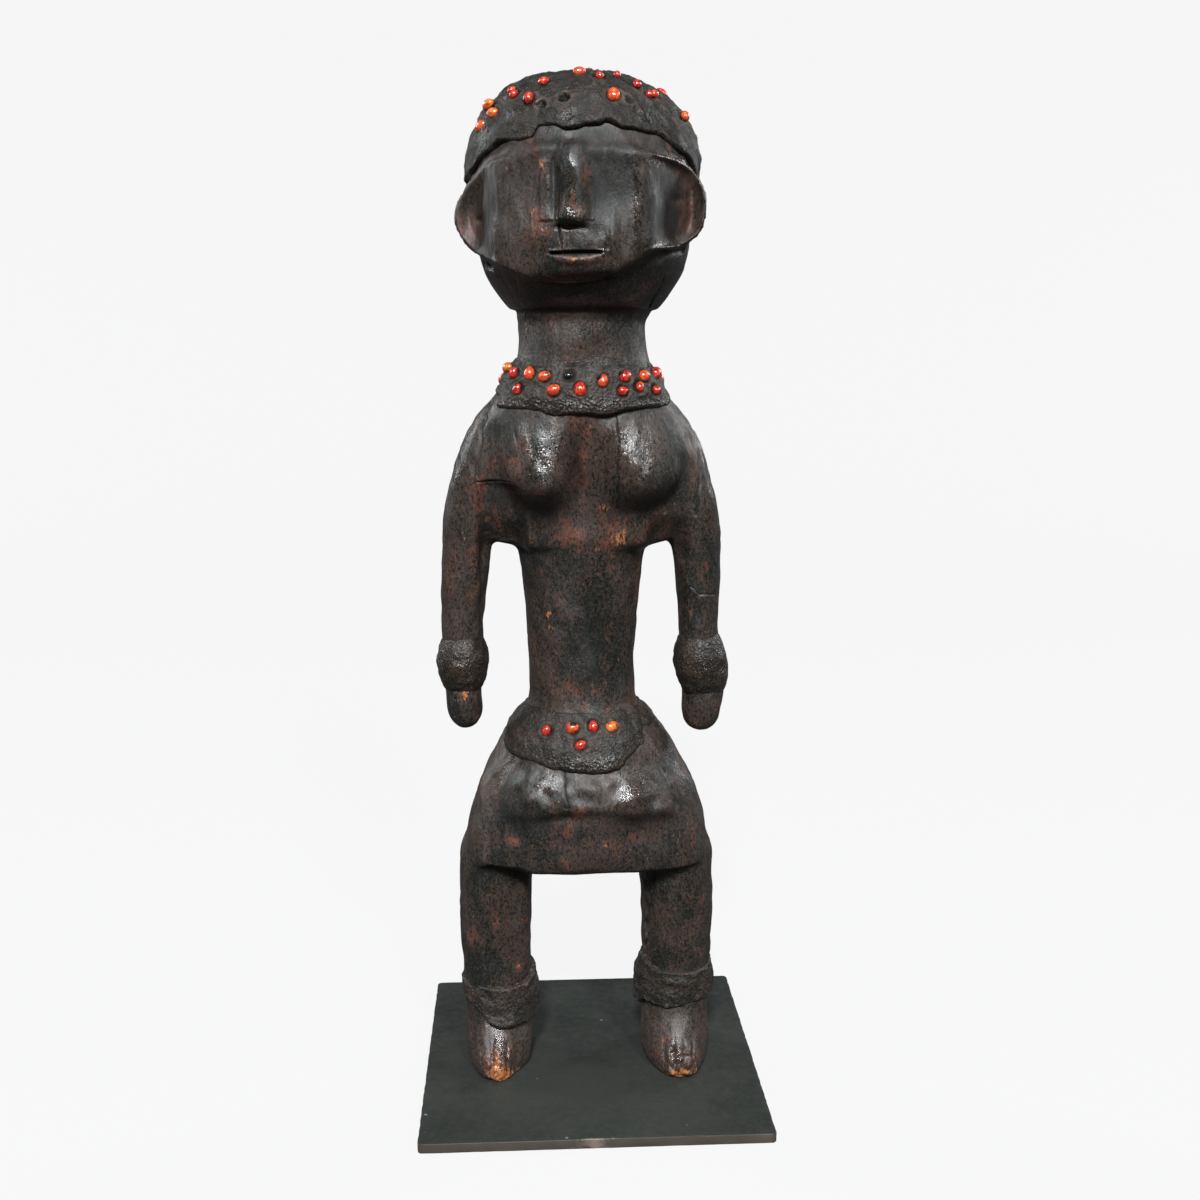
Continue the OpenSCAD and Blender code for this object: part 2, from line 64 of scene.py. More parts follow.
# The figure isn't quite upright: its parts have their own middle lines, and the head is turned.
TRUNK_X = -3.2
LEGS_X = -1.0
LEG_OUT = 37.75
HEAD_AT = np.array([-2.0, 0.0, 0.0])
HEAD_TURN = math.radians(8)
# How deep the underside of the paste lies in the wood, and how far a seed may be from its drawn middle
PASTE_ROOT = 1.2
SEED_DRIFT = 12.0
# The camera's place in metres, and how far it looks down and to the side in degrees
VIEWPOINT = (-0.02695, -0.5657, 0.3064)
LOOK_DOWN, LOOK_ASIDE = 10.28, 3.18
FULL, QUARTER = 2 * math.pi, math.pi / 2
WAVE_COUNT = 26
WOOD_TRIANGLES = 190000

# ---- Sections: height, half width, reach forward, reach back, squareness, x, y ----
TRUNK_ROWS = [
    (89.6, 47, 24, 28, 3.2, -1, 2),
    (90.6, 50, 29, 33, 3.2, -1, 2),
    (95, 51, 31, 35, 3, -1, 2),
    (101.5, 50.4, 32, 36.5, 2.7, -1.2, 2),
    (112, 48.4, 33.2, 38, 2.5, -1.3, 2),
    (122.7, 45.2, 32.8, 37.6, 2.4, -1.4, 2),
    (133, 39.8, 30.2, 35, 2.3, -1.5, 2),
    (143.6, 33.6, 26.6, 30.5, 2.2, -1.6, 1.5),
    (154, 25.4, 21.4, 24.5, 2.1, -2.6, 0.5),
    (161, 21.9, 19, 21.4, 2.1, -2.5, 0),
    (175, 21.9, 18.3, 20.5, 2.1, -2.8, 0),
    (195, 22.8, 18.8, 20.5, 2.2, -3.1, 0),
    (205, 23.5, 19.3, 21, 2.2, -3.3, 0),
    (215, 24.6, 20.2, 22, 2.3, -3.4, 0),
    (220, 25.5, 20.8, 22.6, 2.3, -3.5, 0),
    (223, 26.4, 21, 23, 2.5, -3.5, 0),
    (224.4, 34, 21.2, 23.4, 2.9, -3.4, 0),
    (225.6, 39, 21.4, 23.8, 2.9, -3.4, 0),
    (233, 40, 22, 25, 2.6, -3.3, 0),
    (244, 41.5, 23, 26, 2.5, -3.3, 0),
    (258, 43, 24, 26.5, 2.5, -3.3, 0),
    (267, 43.8, 24.6, 26.6, 2.4, -3.3, 0),
    (273, 42.6, 24.8, 26.6, 2.3, -3.4, 0),
    (278, 39.2, 24.8, 26.5, 2.2, -3.4, 0),
    (283, 34.8, 24.5, 26.3, 2.2, -3.4, 0),
    (288, 30.4, 24, 25.8, 2.1, -3.2, 0),
    (293, 27.8, 23.6, 25.4, 2.1, -3, 0),
    (299, 25.7, 23.2, 25.1, 2, -2.9, 0),
    (307, 25.2, 23, 25, 2, -2.9, 0),
    (322, 25.4, 23, 25, 2, -2.6, 0),
]
# x is measured outwards from the trunk's middle
ARM_ROWS = [
    (147.2, 2.5, 3.5, 3.5, 2.1, 48.1, -1),
    (149, 5.2, 6, 6, 2.1, 48.1, -1),
    (153, 6.7, 7.6, 7.6, 2.2, 48.3, -1),
    (160, 7.4, 8.3, 8.3, 2.3, 48.8, -0.8),
    (165, 7.8, 8.6, 8.6, 2.2, 49, -0.5),
    (185, 8.3, 9, 9, 2.1, 48.7, 0),
    (195, 8.4, 9.3, 9.5, 2.1, 48.4, 0),
    (205, 9.1, 9.9, 10.3, 2.1, 47.9, 0),
    (215, 9.5, 10.8, 11.3, 2.1, 47.2, 0),
    (221, 9.8, 11.4, 12, 2.1, 46.8, 0),
    (226, 10.9, 12, 12.8, 2.1, 45.6, 0),
    (240, 12.2, 13.8, 14.8, 2.2, 43, 0),
    (255, 12.6, 15.2, 16.4, 2.2, 38.6, 0),
    (266, 12.8, 15.5, 16.8, 2.1, 34.4, 0),
    (274, 12.2, 14.6, 15.8, 2.1, 30, 0),
    (280, 9.3, 11, 12, 2, 26.8, 0),
    (284, 4.5, 6, 6, 2, 24.4, 0),
]
# x is measured outwards from the leg's middle
LEG_ROWS = [
    (0, 12.4, 27.6, 21, 1.9, 0, 0),
    (3, 13.5, 29, 22.4, 1.85, 0, 0),
    (8, 14.1, 27, 22.3, 1.9, 0, 0),
    (13, 14.3, 23.7, 21.3, 1.95, 0, 0),
    (18, 14.2, 20, 19.6, 2, 0, 0),
    (25, 14, 16.4, 17.6, 2.1, 0.2, 0),
    (36, 14, 15.6, 17, 2.1, 0.5, 0),
    (47, 14.4, 15.6, 17, 2.2, 0.5, 0),
    (58, 14.9, 16, 17.3, 2.2, 0.6, 0),
    (70, 15.2, 16.4, 17.7, 2.2, 0.4, 0),
    (80, 15.2, 16.8, 18, 2.2, 0.1, 0),
    (91, 15.3, 17, 18.4, 2.2, 0, 0),
    (102, 12.5, 14, 16, 2.2, 0, 0),
]
HEAD_ROWS = [
    (312, 20, 17, 21, 2, 0, 0),
    (314.5, 26.5, 24, 27.5, 2, 0, 0),
    (319, 31.2, 29, 33, 2, 0, 0),
    (325, 35.6, 33, 37.5, 2, 0, 0),
    (330, 38.6, 36, 40.4, 2.05, 0, 0),
    (336, 40.5, 38, 42, 2.1, 0, 0),
    (346, 42, 39.4, 43.5, 2.2, 0, 0),
    (358, 43, 39.8, 44.3, 2.2, 0, 0),
    (370, 43.4, 39.9, 44, 2.2, 0, 0),
    (380, 41.4, 38, 42, 2.1, 0, 0),
    (388, 37.6, 35, 38, 2, -0.3, 0),
    (394, 31.8, 30.5, 32.5, 2, -0.6, 0),
    (399, 23.8, 23.4, 24.5, 2, -1, 0),
    (401.6, 16.5, 16.5, 17, 2, -1.2, 0),
    (403, 7, 7, 7, 2, -1.2, 0),
]
NOSE_ROWS = [
    (345.8, 5.6, 5.2, 8, 3.6, 0.2, -41),
    (348.5, 5.6, 5.4, 8, 3.4, 0.2, -41),
    (354, 5.2, 5.2, 8, 3, 0.3, -41.2),
    (362, 4.9, 5.0, 8, 2.8, 0.4, -41.3),
    (370, 4.8, 4.6, 7, 2.6, 0.5, -40.6),
    (374.5, 4.6, 2.6, 5, 2.4, 0.5, -40),
]
# Outline of the face with its ears, seen from the front of the head
FACE_OUTLINE = [
    (27.5, 373), (31.6, 371.6), (39, 370.2), (45.4, 366.8), (48.4, 361.5), (49.2, 354), (48, 346.8),
    (43.4, 341.4), (37.4, 338.6), (31.1, 337), (25.8, 334.5), (20.5, 331), (14.2, 327.6), (2.3, 325.2),
    (-8, 325), (-16, 326), (-23.9, 328.8), (-31, 332), (-36.1, 334.5), (-42.8, 338.8), (-47.2, 344.9),
    (-48.6, 351.2), (-46.4, 358.2), (-41.4, 364.6), (-35.6, 368.6), (-28.1, 371.2), (-20, 373),
    (0, 374), (18, 374),
]
FACE_MIDDLE = np.array([0.0, 350.0])
# Depth of the face from its middle out to each ear's rim: [distance from the middle, y]
LEFT_HALF = [(0, -42), (10, -41.7), (20, -40), (28, -36.6), (32, -30.6), (36, -22), (39.5, -15.4), (43, -13),
              (46, -14), (52, -15)]
RIGHT_HALF = [(0, -42), (10, -41.7), (20, -40), (28, -36.6), (32, -31.6), (36, -25.4), (39.5, -20.4), (43, -18.4),
             (46, -18.6), (52, -18)]


# ---- Numbers ----
def faired(rows, at):
    """Smooth values of every column of the rows at the given first-column values, with no overshoot."""
    table = np.array(rows, float)
    gaps = np.diff(table[:, 0])
    steps = np.diff(table[:, 1:], axis=0) / gaps[:, None]
    slopes = np.zeros_like(table[:, 1:])
    product = steps[:-1] * steps[1:]
    total = np.where(product > 0, steps[:-1] + steps[1:], 1)
    slopes[1:-1] = np.where(product > 0, 2 * product / total, 0)
    slopes[0], slopes[-1] = steps[0], steps[-1]
    at = np.clip(np.asarray(at, float), table[0, 0], table[-1, 0])
    i = np.clip(np.searchsorted(table[:, 0], at, side="right") - 1, 0, len(gaps) - 1)
    t = ((at - table[i, 0]) / gaps[i])[:, None]
    g = gaps[i][:, None]
    return (
        table[i, 1:] * (1 + 2 * t) * (1 - t) ** 2
        + slopes[i] * g * t * (1 - t) ** 2
        + table[i + 1, 1:] * t * t * (3 - 2 * t)
        - slopes[i + 1] * g * t * t * (1 - t)
    )


def ease(value, low, high):
    """0 below low, 1 above high, smooth between."""
    t = np.clip((value - low) / (high - low), 0, 1)
    return t * t * (3 - 2 * t)


def signed_power(value, power):
    """A power that keeps the value's sign."""
    return np.sign(value) * np.abs(value) ** power


def around(section, turn):
    """Points of a section; turn is 0 at the front and grows towards +X."""
    half, front, back, square, x, y = section.T
    c, s = np.sin(turn), -np.cos(turn)
    reach = np.where(s < 0, front, back)
    return np.stack([x + half * signed_power(c, 2 / square), y + reach * signed_power(s, 2 / square)], 1)


def on_rows(rows, turn, z):
    """Points on the surface that the rows make."""
    return np.column_stack([around(faired(rows, z), turn), z])


def outward(rows, turn, z):
    """The direction straight out of the surface that the rows make."""
    across = on_rows(rows, turn + 0.03, z) - on_rows(rows, turn - 0.03, z)
    up = on_rows(rows, turn, z + 0.4) - on_rows(rows, turn, z - 0.4)
    out = np.cross(across, up)
    length = np.linalg.norm(out, axis=1, keepdims=True)
    return np.where(length > 1e-9, out / np.maximum(length, 1e-9), [0, 0, 1])


def bell(value, middle, width, power=2):
    """1 at the middle, falling to 0 on both sides."""
    return np.exp(-(((value - middle) / width) ** power))


def waves(points, size, seed, stretch=1.0):
    """Smooth random heights with features of the given size; their spread is about 1."""
    draw = np.random.default_rng(seed)
    heading = draw.normal(size=(WAVE_COUNT, 3))
    heading /= np.linalg.norm(heading, axis=1, keepdims=True)
    heading *= (FULL / size * draw.uniform(0.55, 1.45, WAVE_COUNT))[:, None]
    angle = (points / np.array([1, 1, stretch])) @ heading.T + draw.uniform(0, FULL, WAVE_COUNT)
    return np.sin(angle).sum(1) * math.sqrt(2 / WAVE_COUNT)


def looped(table, turn):
    """Reads a table of [degrees, value] that closes on itself."""
    degrees = np.degrees(turn) % 360
    rows = sorted((a % 360, b) for a, b in table)
    at = [rows[-1][0] - 360] + [a for a, b in rows] + [rows[0][0] + 360]
    values = [rows[-1][1]] + [b for a, b in rows] + [rows[0][1]]
    return faired(list(zip(at, values)), degrees)[:, 0]


def to_head(points):
    """Points of the figure, seen square to its face, which is turned a little."""
    moved = points - HEAD_AT
    c, s = math.cos(HEAD_TURN), math.sin(HEAD_TURN)
    across, deep = c * moved[:, 0] - s * moved[:, 1], s * moved[:, 0] + c * moved[:, 1]
    return np.column_stack([across, deep, moved[:, 2]])


def from_head(points):
    """The reverse of to_head."""
    c, s = math.cos(HEAD_TURN), math.sin(HEAD_TURN)
    across, deep = c * points[:, 0] + s * points[:, 1], -s * points[:, 0] + c * points[:, 1]
    turned = np.column_stack([across, deep, points[:, 2]])
    return turned + HEAD_AT


def path_distance(flat, path):
    """Distance of 2-D points from a line of points, and how far along it they are, from 0 to 1."""
    path = np.array(path, float)
    best, along, done = np.full(len(flat), 1e9), np.zeros(len(flat)), 0.0
    lengths = np.linalg.norm(np.diff(path, axis=0), axis=1)
    for a, b, length in zip(path[:-1], path[1:], lengths):
        t = np.clip((flat - a) @ (b - a) / length**2, 0, 1)
        away = np.linalg.norm(flat - a - t[:, None] * (b - a), axis=1)
        nearer = away < best
        best = np.where(nearer, away, best)
        along = np.where(nearer, (done + t * length) / lengths.sum(), along)
        done += length
    return best, along


def spots(flat, table):
    """Sum of soft spots: [x, z, half width, half height, strength]."""
    total = np.zeros(len(flat))
    for x, z, wide, high, strength in table:
        total += strength * np.exp(-(((flat[:, 0] - x) / wide) ** 2) - ((flat[:, 1] - z) / high) ** 2)
    return total


# ---- Meshes ----
def wrap_grid(bm, sides, levels, place):
    """Adds a grid that wraps round; place(turn, level) gives its points in millimetres."""
    made = bmesh.ops.create_grid(bm, x_segments=sides, y_segments=levels - 1, size=1)["verts"]
    flat = np.array([v.co for v in made])
    turn = (flat[:, 0] + 1) / 2 * FULL
    level = np.rint((flat[:, 1] + 1) / 2 * (levels - 1)).astype(int)
    for v, p in zip(made, place(turn, level)):
        v.co = p
    bmesh.ops.remove_doubles(bm, verts=made, dist=1e-3)


def limb(bm, rows, sides, step, finish=None, mirror=1, at=(0, 0)):
    """A closed loft through rows of sections."""
    low, high = rows[0][0], rows[-1][0]
    heights = np.linspace(low, high, max(3, int((high - low) / step)))
    heights = np.concatenate([[low, low], heights, [high, high]])
    size = np.array([0, 0.5] + [1] * (len(heights) - 4) + [0.5, 0])

    def place(turn, level):
        z = heights[level]
        middle = faired(rows, z)[:, 4:6]
        edge = on_rows(rows, turn, z)
        flat = middle + (edge[:, :2] - middle) * size[level][:, None]
        points = np.column_stack([at[0] + mirror * flat[:, 0], at[1] + flat[:, 1], z])
        return points if finish is None else finish(points)

    wrap_grid(bm, sides, len(heights), place)


def mesh_arrays(mesh):
    """A mesh's points and outward normals, as arrays."""
    points = np.empty(len(mesh.vertices) * 3)
    mesh.vertices.foreach_get("co", points)
    normals = np.empty(len(mesh.vertices) * 3, np.float32)
    mesh.vertex_normals.foreach_get("vector", normals)
    return points.reshape(-1, 3), normals.reshape(-1, 3).astype(float)


def put_points(mesh, points):
    """Writes moved points back to their mesh."""
    mesh.vertices.foreach_set("co", np.ascontiguousarray(points, np.float32).ravel())
    mesh.update()


def reshape(mesh, change):
    """Moves the points to where change(points, normals) puts them."""
    put_points(mesh, change(*mesh_arrays(mesh)))


def softened(mesh, points, rounds):
    """Points averaged with their neighbours, again and again."""
    edges = np.empty(len(mesh.edges) * 2, np.int32)
    mesh.edges.foreach_get("vertices", edges)
    a, b = edges.reshape(-1, 2).T
    count = np.bincount(a, minlength=len(points)) + np.bincount(b, minlength=len(points))
    for _ in range(rounds):
        total = np.stack(
            [
                np.bincount(a, points[b, k], len(points)) + np.bincount(b, points[a, k], len(points))
                for k in range(3)
            ],
            1,
        )
        points = 0.4 * points + 0.6 * total / np.maximum(count, 1)[:, None]
    return points


def baked(obj):
    """The object's mesh with its modifiers applied."""
    bpy.context.view_layer.update()
    mesh = bpy.data.meshes.new_from_object(obj.evaluated_get(bpy.context.evaluated_depsgraph_get()))
    obj.modifiers.clear()
    old, obj.data = obj.data, mesh
    bpy.data.meshes.remove(old)
    return mesh


def new_object(name, bm):
    """An object in the scene, made from a mesh that is done with."""
    mesh = bpy.data.meshes.new(name)
    bmesh.ops.recalc_face_normals(bm, faces=bm.faces)
    bm.to_mesh(mesh)
    bm.free()
    obj = bpy.data.objects.new(name, mesh)
    bpy.context.scene.collection.objects.link(obj)
    return obj


def add_attribute(mesh, name, values):
    """Stores one value for each point of a mesh."""
    layer = mesh.attributes.new(name, "FLOAT", "POINT")
    layer.data.foreach_set("value", np.ascontiguousarray(values, np.float32))


def set_in_place(obj, material, body, nodes):
    """Scales a drawn piece to its real size and ties it to its body, slot and nodes."""
    points, _ = mesh_arrays(obj.data)
    put_points(obj.data, points * UNIT + [0, 0, SOLE])
    obj.data.shade_smooth()
    obj.data.materials.append(material)
    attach(obj, body)
    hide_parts(*nodes)


# ---- Materials ----
class Recipe:
    """A material's node tree, with short ways to add nodes."""

    def __init__(self, name):
        self.material = bpy.data.materials.new(name)
        self.material.use_nodes = True
        self.tree = self.material.node_tree
        self.tree.nodes.clear()
        self.out = self.node("ShaderNodeOutputMaterial")
        self.shader = self.node("ShaderNodeBsdfPrincipled")
        self.join(self.shader.outputs[0], self.out.inputs[0])
        self.place = self.node("ShaderNodeTexCoord").outputs["Object"]

    def node(self, kind, **settings):
        made = self.tree.nodes.new(kind)
        for key, value in settings.items():
            setattr(made, key, value)
        return made

    def join(self, source, target):
        self.tree.links.new(source, target)

    def feed(self, socket, value):
        """Joins a node's output to the socket, or sets it to a plain value."""
        if isinstance(value, bpy.types.NodeSocket):
            self.join(value, socket)
        else:
            socket.default_value = value

    def noise(self, size, detail=3.0, rough=0.55, stretch=1.0, seed=0.0, twist=0.0):
        """Cloudy pattern with features of that size in millimetres, drawn out upwards by stretch."""
        shift = self.node("ShaderNodeMapping")
        self.join(self.place, shift.inputs["Vector"])
        shift.inputs["Location"].default_value = (seed * 0.37, seed * 0.11, seed * 0.53)
        shift.inputs["Scale"].default_value = (1, 1, 1 / stretch)
        made = self.node("ShaderNodeTexNoise")
        self.join(shift.outputs[0], made.inputs["Vector"])
        made.inputs["Scale"].default_value = 1000.0 / size
        made.inputs["Detail"].default_value = detail
        made.inputs["Roughness"].default_value = rough
        made.inputs["Distortion"].default_value = twist
        return made.outputs["Fac"]

    def grains(self, size, seed=0.0):
        """Round crumbs of that size in millimetres."""
        shift = self.node("ShaderNodeMapping")
        self.join(self.place, shift.inputs["Vector"])
        shift.inputs["Location"].default_value = (seed * 0.29, seed * 0.17, seed * 0.41)
        made = self.node("ShaderNodeTexVoronoi")
        self.join(shift.outputs[0], made.inputs["Vector"])
        made.inputs["Scale"].default_value = 1000.0 / size
        return made.outputs["Distance"]

    def attribute(self, name):
        """A value stored on the mesh's points."""
        return self.node("ShaderNodeAttribute", attribute_name=name).outputs["Fac"]

    def add(self, a, b):
        """a + b"""
        made = self.node("ShaderNodeMath", operation="ADD")
        self.feed(made.inputs[0], a)
        self.feed(made.inputs[1], b)
        return made.outputs[0]

    def times(self, value, amount):
        """value * amount"""
        made = self.node("ShaderNodeMath", operation="MULTIPLY")
        self.feed(made.inputs[0], value)
        self.feed(made.inputs[1], amount)
        return made.outputs[0]

    def swing(self, value, amount):
        """A pattern turned into a change up and down, by (value - 0.5) * amount."""
        made = self.node("ShaderNodeMath", operation="SUBTRACT")
        self.feed(made.inputs[0], value)
        made.inputs[1].default_value = 0.5
        return self.times(made.outputs[0], amount)

    def ramp(self, value, low, high, to_low=0.0, to_high=1.0):
        """A smooth step from to_low at low to to_high at high."""
        made = self.node("ShaderNodeMapRange", interpolation_type="SMOOTHSTEP")
        for key, number in (("From Min", low), ("From Max", high), ("To Min", to_low), ("To Max", to_high)):
            made.inputs[key].default_value = number
        self.feed(made.inputs["Value"], value)
        return made.outputs[0]

    def mix(self, amount, a, b):
        """Colour a at 0 and colour b at 1."""
        made = self.node("ShaderNodeMix", data_type="RGBA")
        self.feed(made.inputs["Factor"], amount)
        for socket, value in ((made.inputs[6], a), (made.inputs[7], b)):
            self.feed(socket, value if isinstance(value, bpy.types.NodeSocket) else (*value[:3], 1.0))
        return made.outputs[2]

    def bump(self, height, depth, strength, under=None):
        """Relief of that depth in millimetres, laid over the relief under it."""
        made = self.node("ShaderNodeBump")
        made.inputs["Distance"].default_value = depth * 0.001
        made.inputs["Strength"].default_value = strength
        self.join(height, made.inputs["Height"])
        if under is not None:
            self.join(under, made.inputs["Normal"])
        return made.outputs[0]

    def set(self, **values):
        """Fills the shader's sockets and hands over the material."""
        for key, value in values.items():
            self.feed(self.shader.inputs[key.replace("_", " ")], value)
        return self.material


def wood_material(look):
    """Dark patina on hardwood, worn brown or bare where it has been handled."""
    r = Recipe("dark_patinated_wood")
    broad = r.noise(24, 3, 0.55, 1.8, 1)
    patch = r.noise(6, 4, 0.65, 2.0, 2, 0.4)
    streak = r.noise(1.6, 3, 0.6, 9, 3)
    grain = r.noise(0.95, 3, 0.72, 1.6, 4)
    fine = r.noise(0.55, 2, 0.65, 1, 5)
    brown = r.add(r.times(broad, 0.5), r.times(patch, 0.5))
    brown = r.add(brown, r.swing(grain, 0.4))
    brown = r.add(brown, r.times(r.attribute("warm"), 0.12))
    colour = r.mix(r.ramp(brown, 0.42, 0.62), look.wood_dark, look.wood_brown)
    red = r.add(r.times(r.attribute("warm"), 0.75), r.swing(patch, 2.6))
    red = r.add(red, r.swing(grain, 1.0))
    colour = r.mix(r.ramp(red, 0.5, 1.1, 0.0, 0.8), colour, look.wood_red)
    raw = r.add(r.attribute("wear"), r.swing(streak, 1.8))
    raw = r.add(raw, r.swing(grain, 1.8))
    colour = r.mix(r.ramp(raw, 0.55, 1.1), colour, look.wood_raw)
    specks = r.ramp(r.noise(2.3, 2, 0.5, 1, 6), 0.66, 0.72)
    colour = r.mix(r.times(specks, 0.5), colour, look.wood_red)
    colour = r.mix(r.ramp(grain, 0.34, 0.54, 0.75, 0.0), colour, (0.002, 0.002, 0.0015))
    colour = r.mix(r.ramp(fine, 0.56, 0.68, 0.0, 0.42), colour, (0.09, 0.076, 0.067))
    # Painted shade: near black in hollows of the relief, in the cracks, the mouth slot and the listed shade spots
    colour = r.mix(r.attribute("painted_shade"), colour, (0.003, 0.0025, 0.002))
    gloss = r.add(r.attribute("shine"), r.swing(patch, 1.6))
    rough = r.ramp(gloss, -0.1, 0.9, 0.46, 0.09)
    rough = r.add(rough, r.ramp(grain, 0.35, 0.7, -0.02, 0.08))
    rough = r.add(rough, r.times(r.attribute("wear"), 0.1))
    rough = r.add(rough, r.times(r.attribute("painted_shade"), 0.32))
    normal = r.bump(patch, 0.4, 0.6)
    normal = r.bump(streak, 0.15, 0.7, normal)
    normal = r.bump(grain, 0.26, 0.8, normal)
    normal = r.bump(fine, 0.08, 0.8, normal)
    return r.set(Base_Color=colour, Roughness=rough, Normal=normal, Specular_IOR_Level=0.36)


def paste_material(look):
    """Dark, crumbly paste with a dull shine."""
    r = Recipe("resin_and_wax_paste")
    cloud = r.noise(9, 4, 0.6, 1, 11)
    lump = r.noise(2.2, 4, 0.65, 1, 12)
    crumbs = r.grains(1.05, 13)
    fine = r.noise(0.6, 2, 0.65, 1, 14)
    amount = r.add(r.times(cloud, 0.6), r.times(lump, 0.4))
    colour = r.mix(r.ramp(amount, 0.38, 0.64), look.paste_dark, look.paste_brown)
    colour = r.mix(r.ramp(r.noise(4, 3, 0.6, 1, 15), 0.56, 0.7, 0, 0.5), colour, look.paste_red)
    colour = r.mix(r.ramp(crumbs, 0.25, 0.75, 0.0, 0.7), colour, (0.005, 0.0045, 0.004))
    colour = r.mix(r.ramp(fine, 0.56, 0.72, 0.0, 0.4), colour, (0.09, 0.076, 0.067))
    colour = r.mix(r.attribute("crust"), colour, (0.12, 0.078, 0.054))
    # Painted shade: near black in the seed dents, empty sockets, cracks and hollows of the relief, and evenly over
    # the cap
    colour = r.mix(r.attribute("painted_shade"), colour, (0.003, 0.003, 0.0025))
    gloss = r.add(r.attribute("shine"), r.swing(lump, 1.4))
    rough = r.ramp(gloss, -0.1, 1.0, 0.56, 0.17)
    rough = r.add(rough, r.times(r.attribute("painted_shade"), 0.3))
    normal = r.bump(lump, 0.7, 0.8)
    normal = r.bump(crumbs, 0.35, 0.7, normal)
    normal = r.bump(fine, 0.14, 0.8, normal)
    return r.set(Base_Color=colour, Roughness=rough, Normal=normal, Specular_IOR_Level=0.28)


def seed_material(look):
    """Glossy red to orange seeds with a black eye."""
    r = Recipe("rosary_pea_seed")
    tint = r.attribute("tint")
    flush = r.noise(2.6, 3, 0.6, 1, 21)
    blotch = r.noise(1.3, 3, 0.6, 1, 22)
    colour = r.mix(r.ramp(tint, 0.0, 0.5), look.seed_red, look.seed_orange)
    colour = r.mix(r.ramp(tint, 0.5, 1.0), colour, look.seed_amber)
    colour = r.mix(r.ramp(flush, 0.42, 0.62, 0.0, 0.7), colour, look.seed_red)
    colour = r.mix(r.ramp(blotch, 0.54, 0.7, 0.0, 0.6), colour, look.seed_amber)
    colour = r.mix(r.ramp(blotch, 0.34, 0.5, 0.8, 0.0), colour, (0.06, 0.008, 0.005))
    eye = r.ramp(r.add(r.attribute("eye"), r.swing(flush, 0.3)), 0.55, 0.66)
    colour = r.mix(eye, colour, (0.005, 0.0045, 0.0045))
    # Painted shade: darker on the side of each seed that faces into the paste
    dust_and_shade = r.ramp(r.add(r.attribute("sunk"), r.times(flush, 0.6)), 0.3, 0.85)
    colour = r.mix(dust_and_shade, colour, (0.02, 0.009, 0.006))
    rough = r.ramp(flush, 0.35, 0.7, 0.16, 0.36)
    normal = r.bump(blotch, 0.2, 0.6)
    return r.set(Base_Color=colour, Roughness=rough, Normal=normal, Coat_Weight=0.6, Coat_Roughness=0.1)


def plate_material(look):
    """Dark satin paint, faintly clouded."""
    r = Recipe("satin_painted_steel")
    cloud = r.noise(55, 4, 0.55, 1, 31)
    mottle = r.noise(3.5, 4, 0.65, 1, 32)
    fine = r.noise(0.6, 2, 0.6, 1, 33)
    colour = r.mix(r.ramp(cloud, 0.35, 0.68), look.plate_dark, look.plate_light)
    colour = r.mix(r.ramp(mottle, 0.4, 0.75, 0.0, 0.35), colour, look.plate_light)
    # On the plate this is only pale specks of dust
    dust_and_shade = r.ramp(r.noise(5, 1, 0.4, 1, 34), 0.79, 0.81)
    colour = r.mix(r.times(dust_and_shade, 0.5), colour, (0.22, 0.22, 0.21))
    side = r.add(r.attribute("side"), r.swing(mottle, 0.9))
    colour = r.mix(r.ramp(side, 0.4, 0.75), colour, look.plate_edge)
    worn = r.add(r.attribute("worn"), r.swing(r.noise(9, 4, 0.7, 1, 35), 2.6))
    colour = r.mix(r.ramp(worn, 1.15, 1.7), colour, (0.14, 0.112, 0.092))
    rough = r.ramp(mottle, 0.3, 0.7, 0.46, 0.6)
    normal = r.bump(mottle, 0.03, 0.4)
    normal = r.bump(fine, 0.06, 0.7, normal)
    return r.set(Base_Color=colour, Roughness=rough, Normal=normal, Specular_IOR_Level=0.3)


def pin_material():
    """Bare turned steel with a little rust."""
    r = Recipe("turned_steel")
    turned = r.noise(0.5, 2, 0.5, 0.15, 41)
    rust = r.noise(6, 4, 0.6, 1, 42)
    colour = r.mix(r.ramp(rust, 0.5, 0.75, 0, 0.7), (0.42, 0.41, 0.4), (0.2, 0.13, 0.09))
    rough = r.ramp(rust, 0.4, 0.7, 0.3, 0.55)
    return r.set(Base_Color=colour, Roughness=rough, Metallic=1.0, Normal=r.bump(turned, 0.02, 0.5))


# ---- The wood ----
def face_radius(angle):
    """How far the face's outline is from its middle, at an angle."""
    rows = np.array(FACE_OUTLINE) - FACE_MIDDLE
    at = np.degrees(np.arctan2(rows[:, 0], rows[:, 1]))
    return looped(list(zip(at, np.linalg.norm(rows, axis=1))), angle)


def face_depth(x, z):
    """How far forward the plane of the face stands, from the nose's root out to the ears."""
    left = faired(LEFT_HALF, np.abs(x))[:, 0]
    right = faired(RIGHT_HALF, np.abs(x))[:, 0]
    y = np.where(x > 0, left, right)
    return y + 3.2 * np.clip((348 - z) / 24, 0, 2) ** 2 * ease(-np.abs(x), -34, -10) + 0.6 * ease(z, 366, 374)


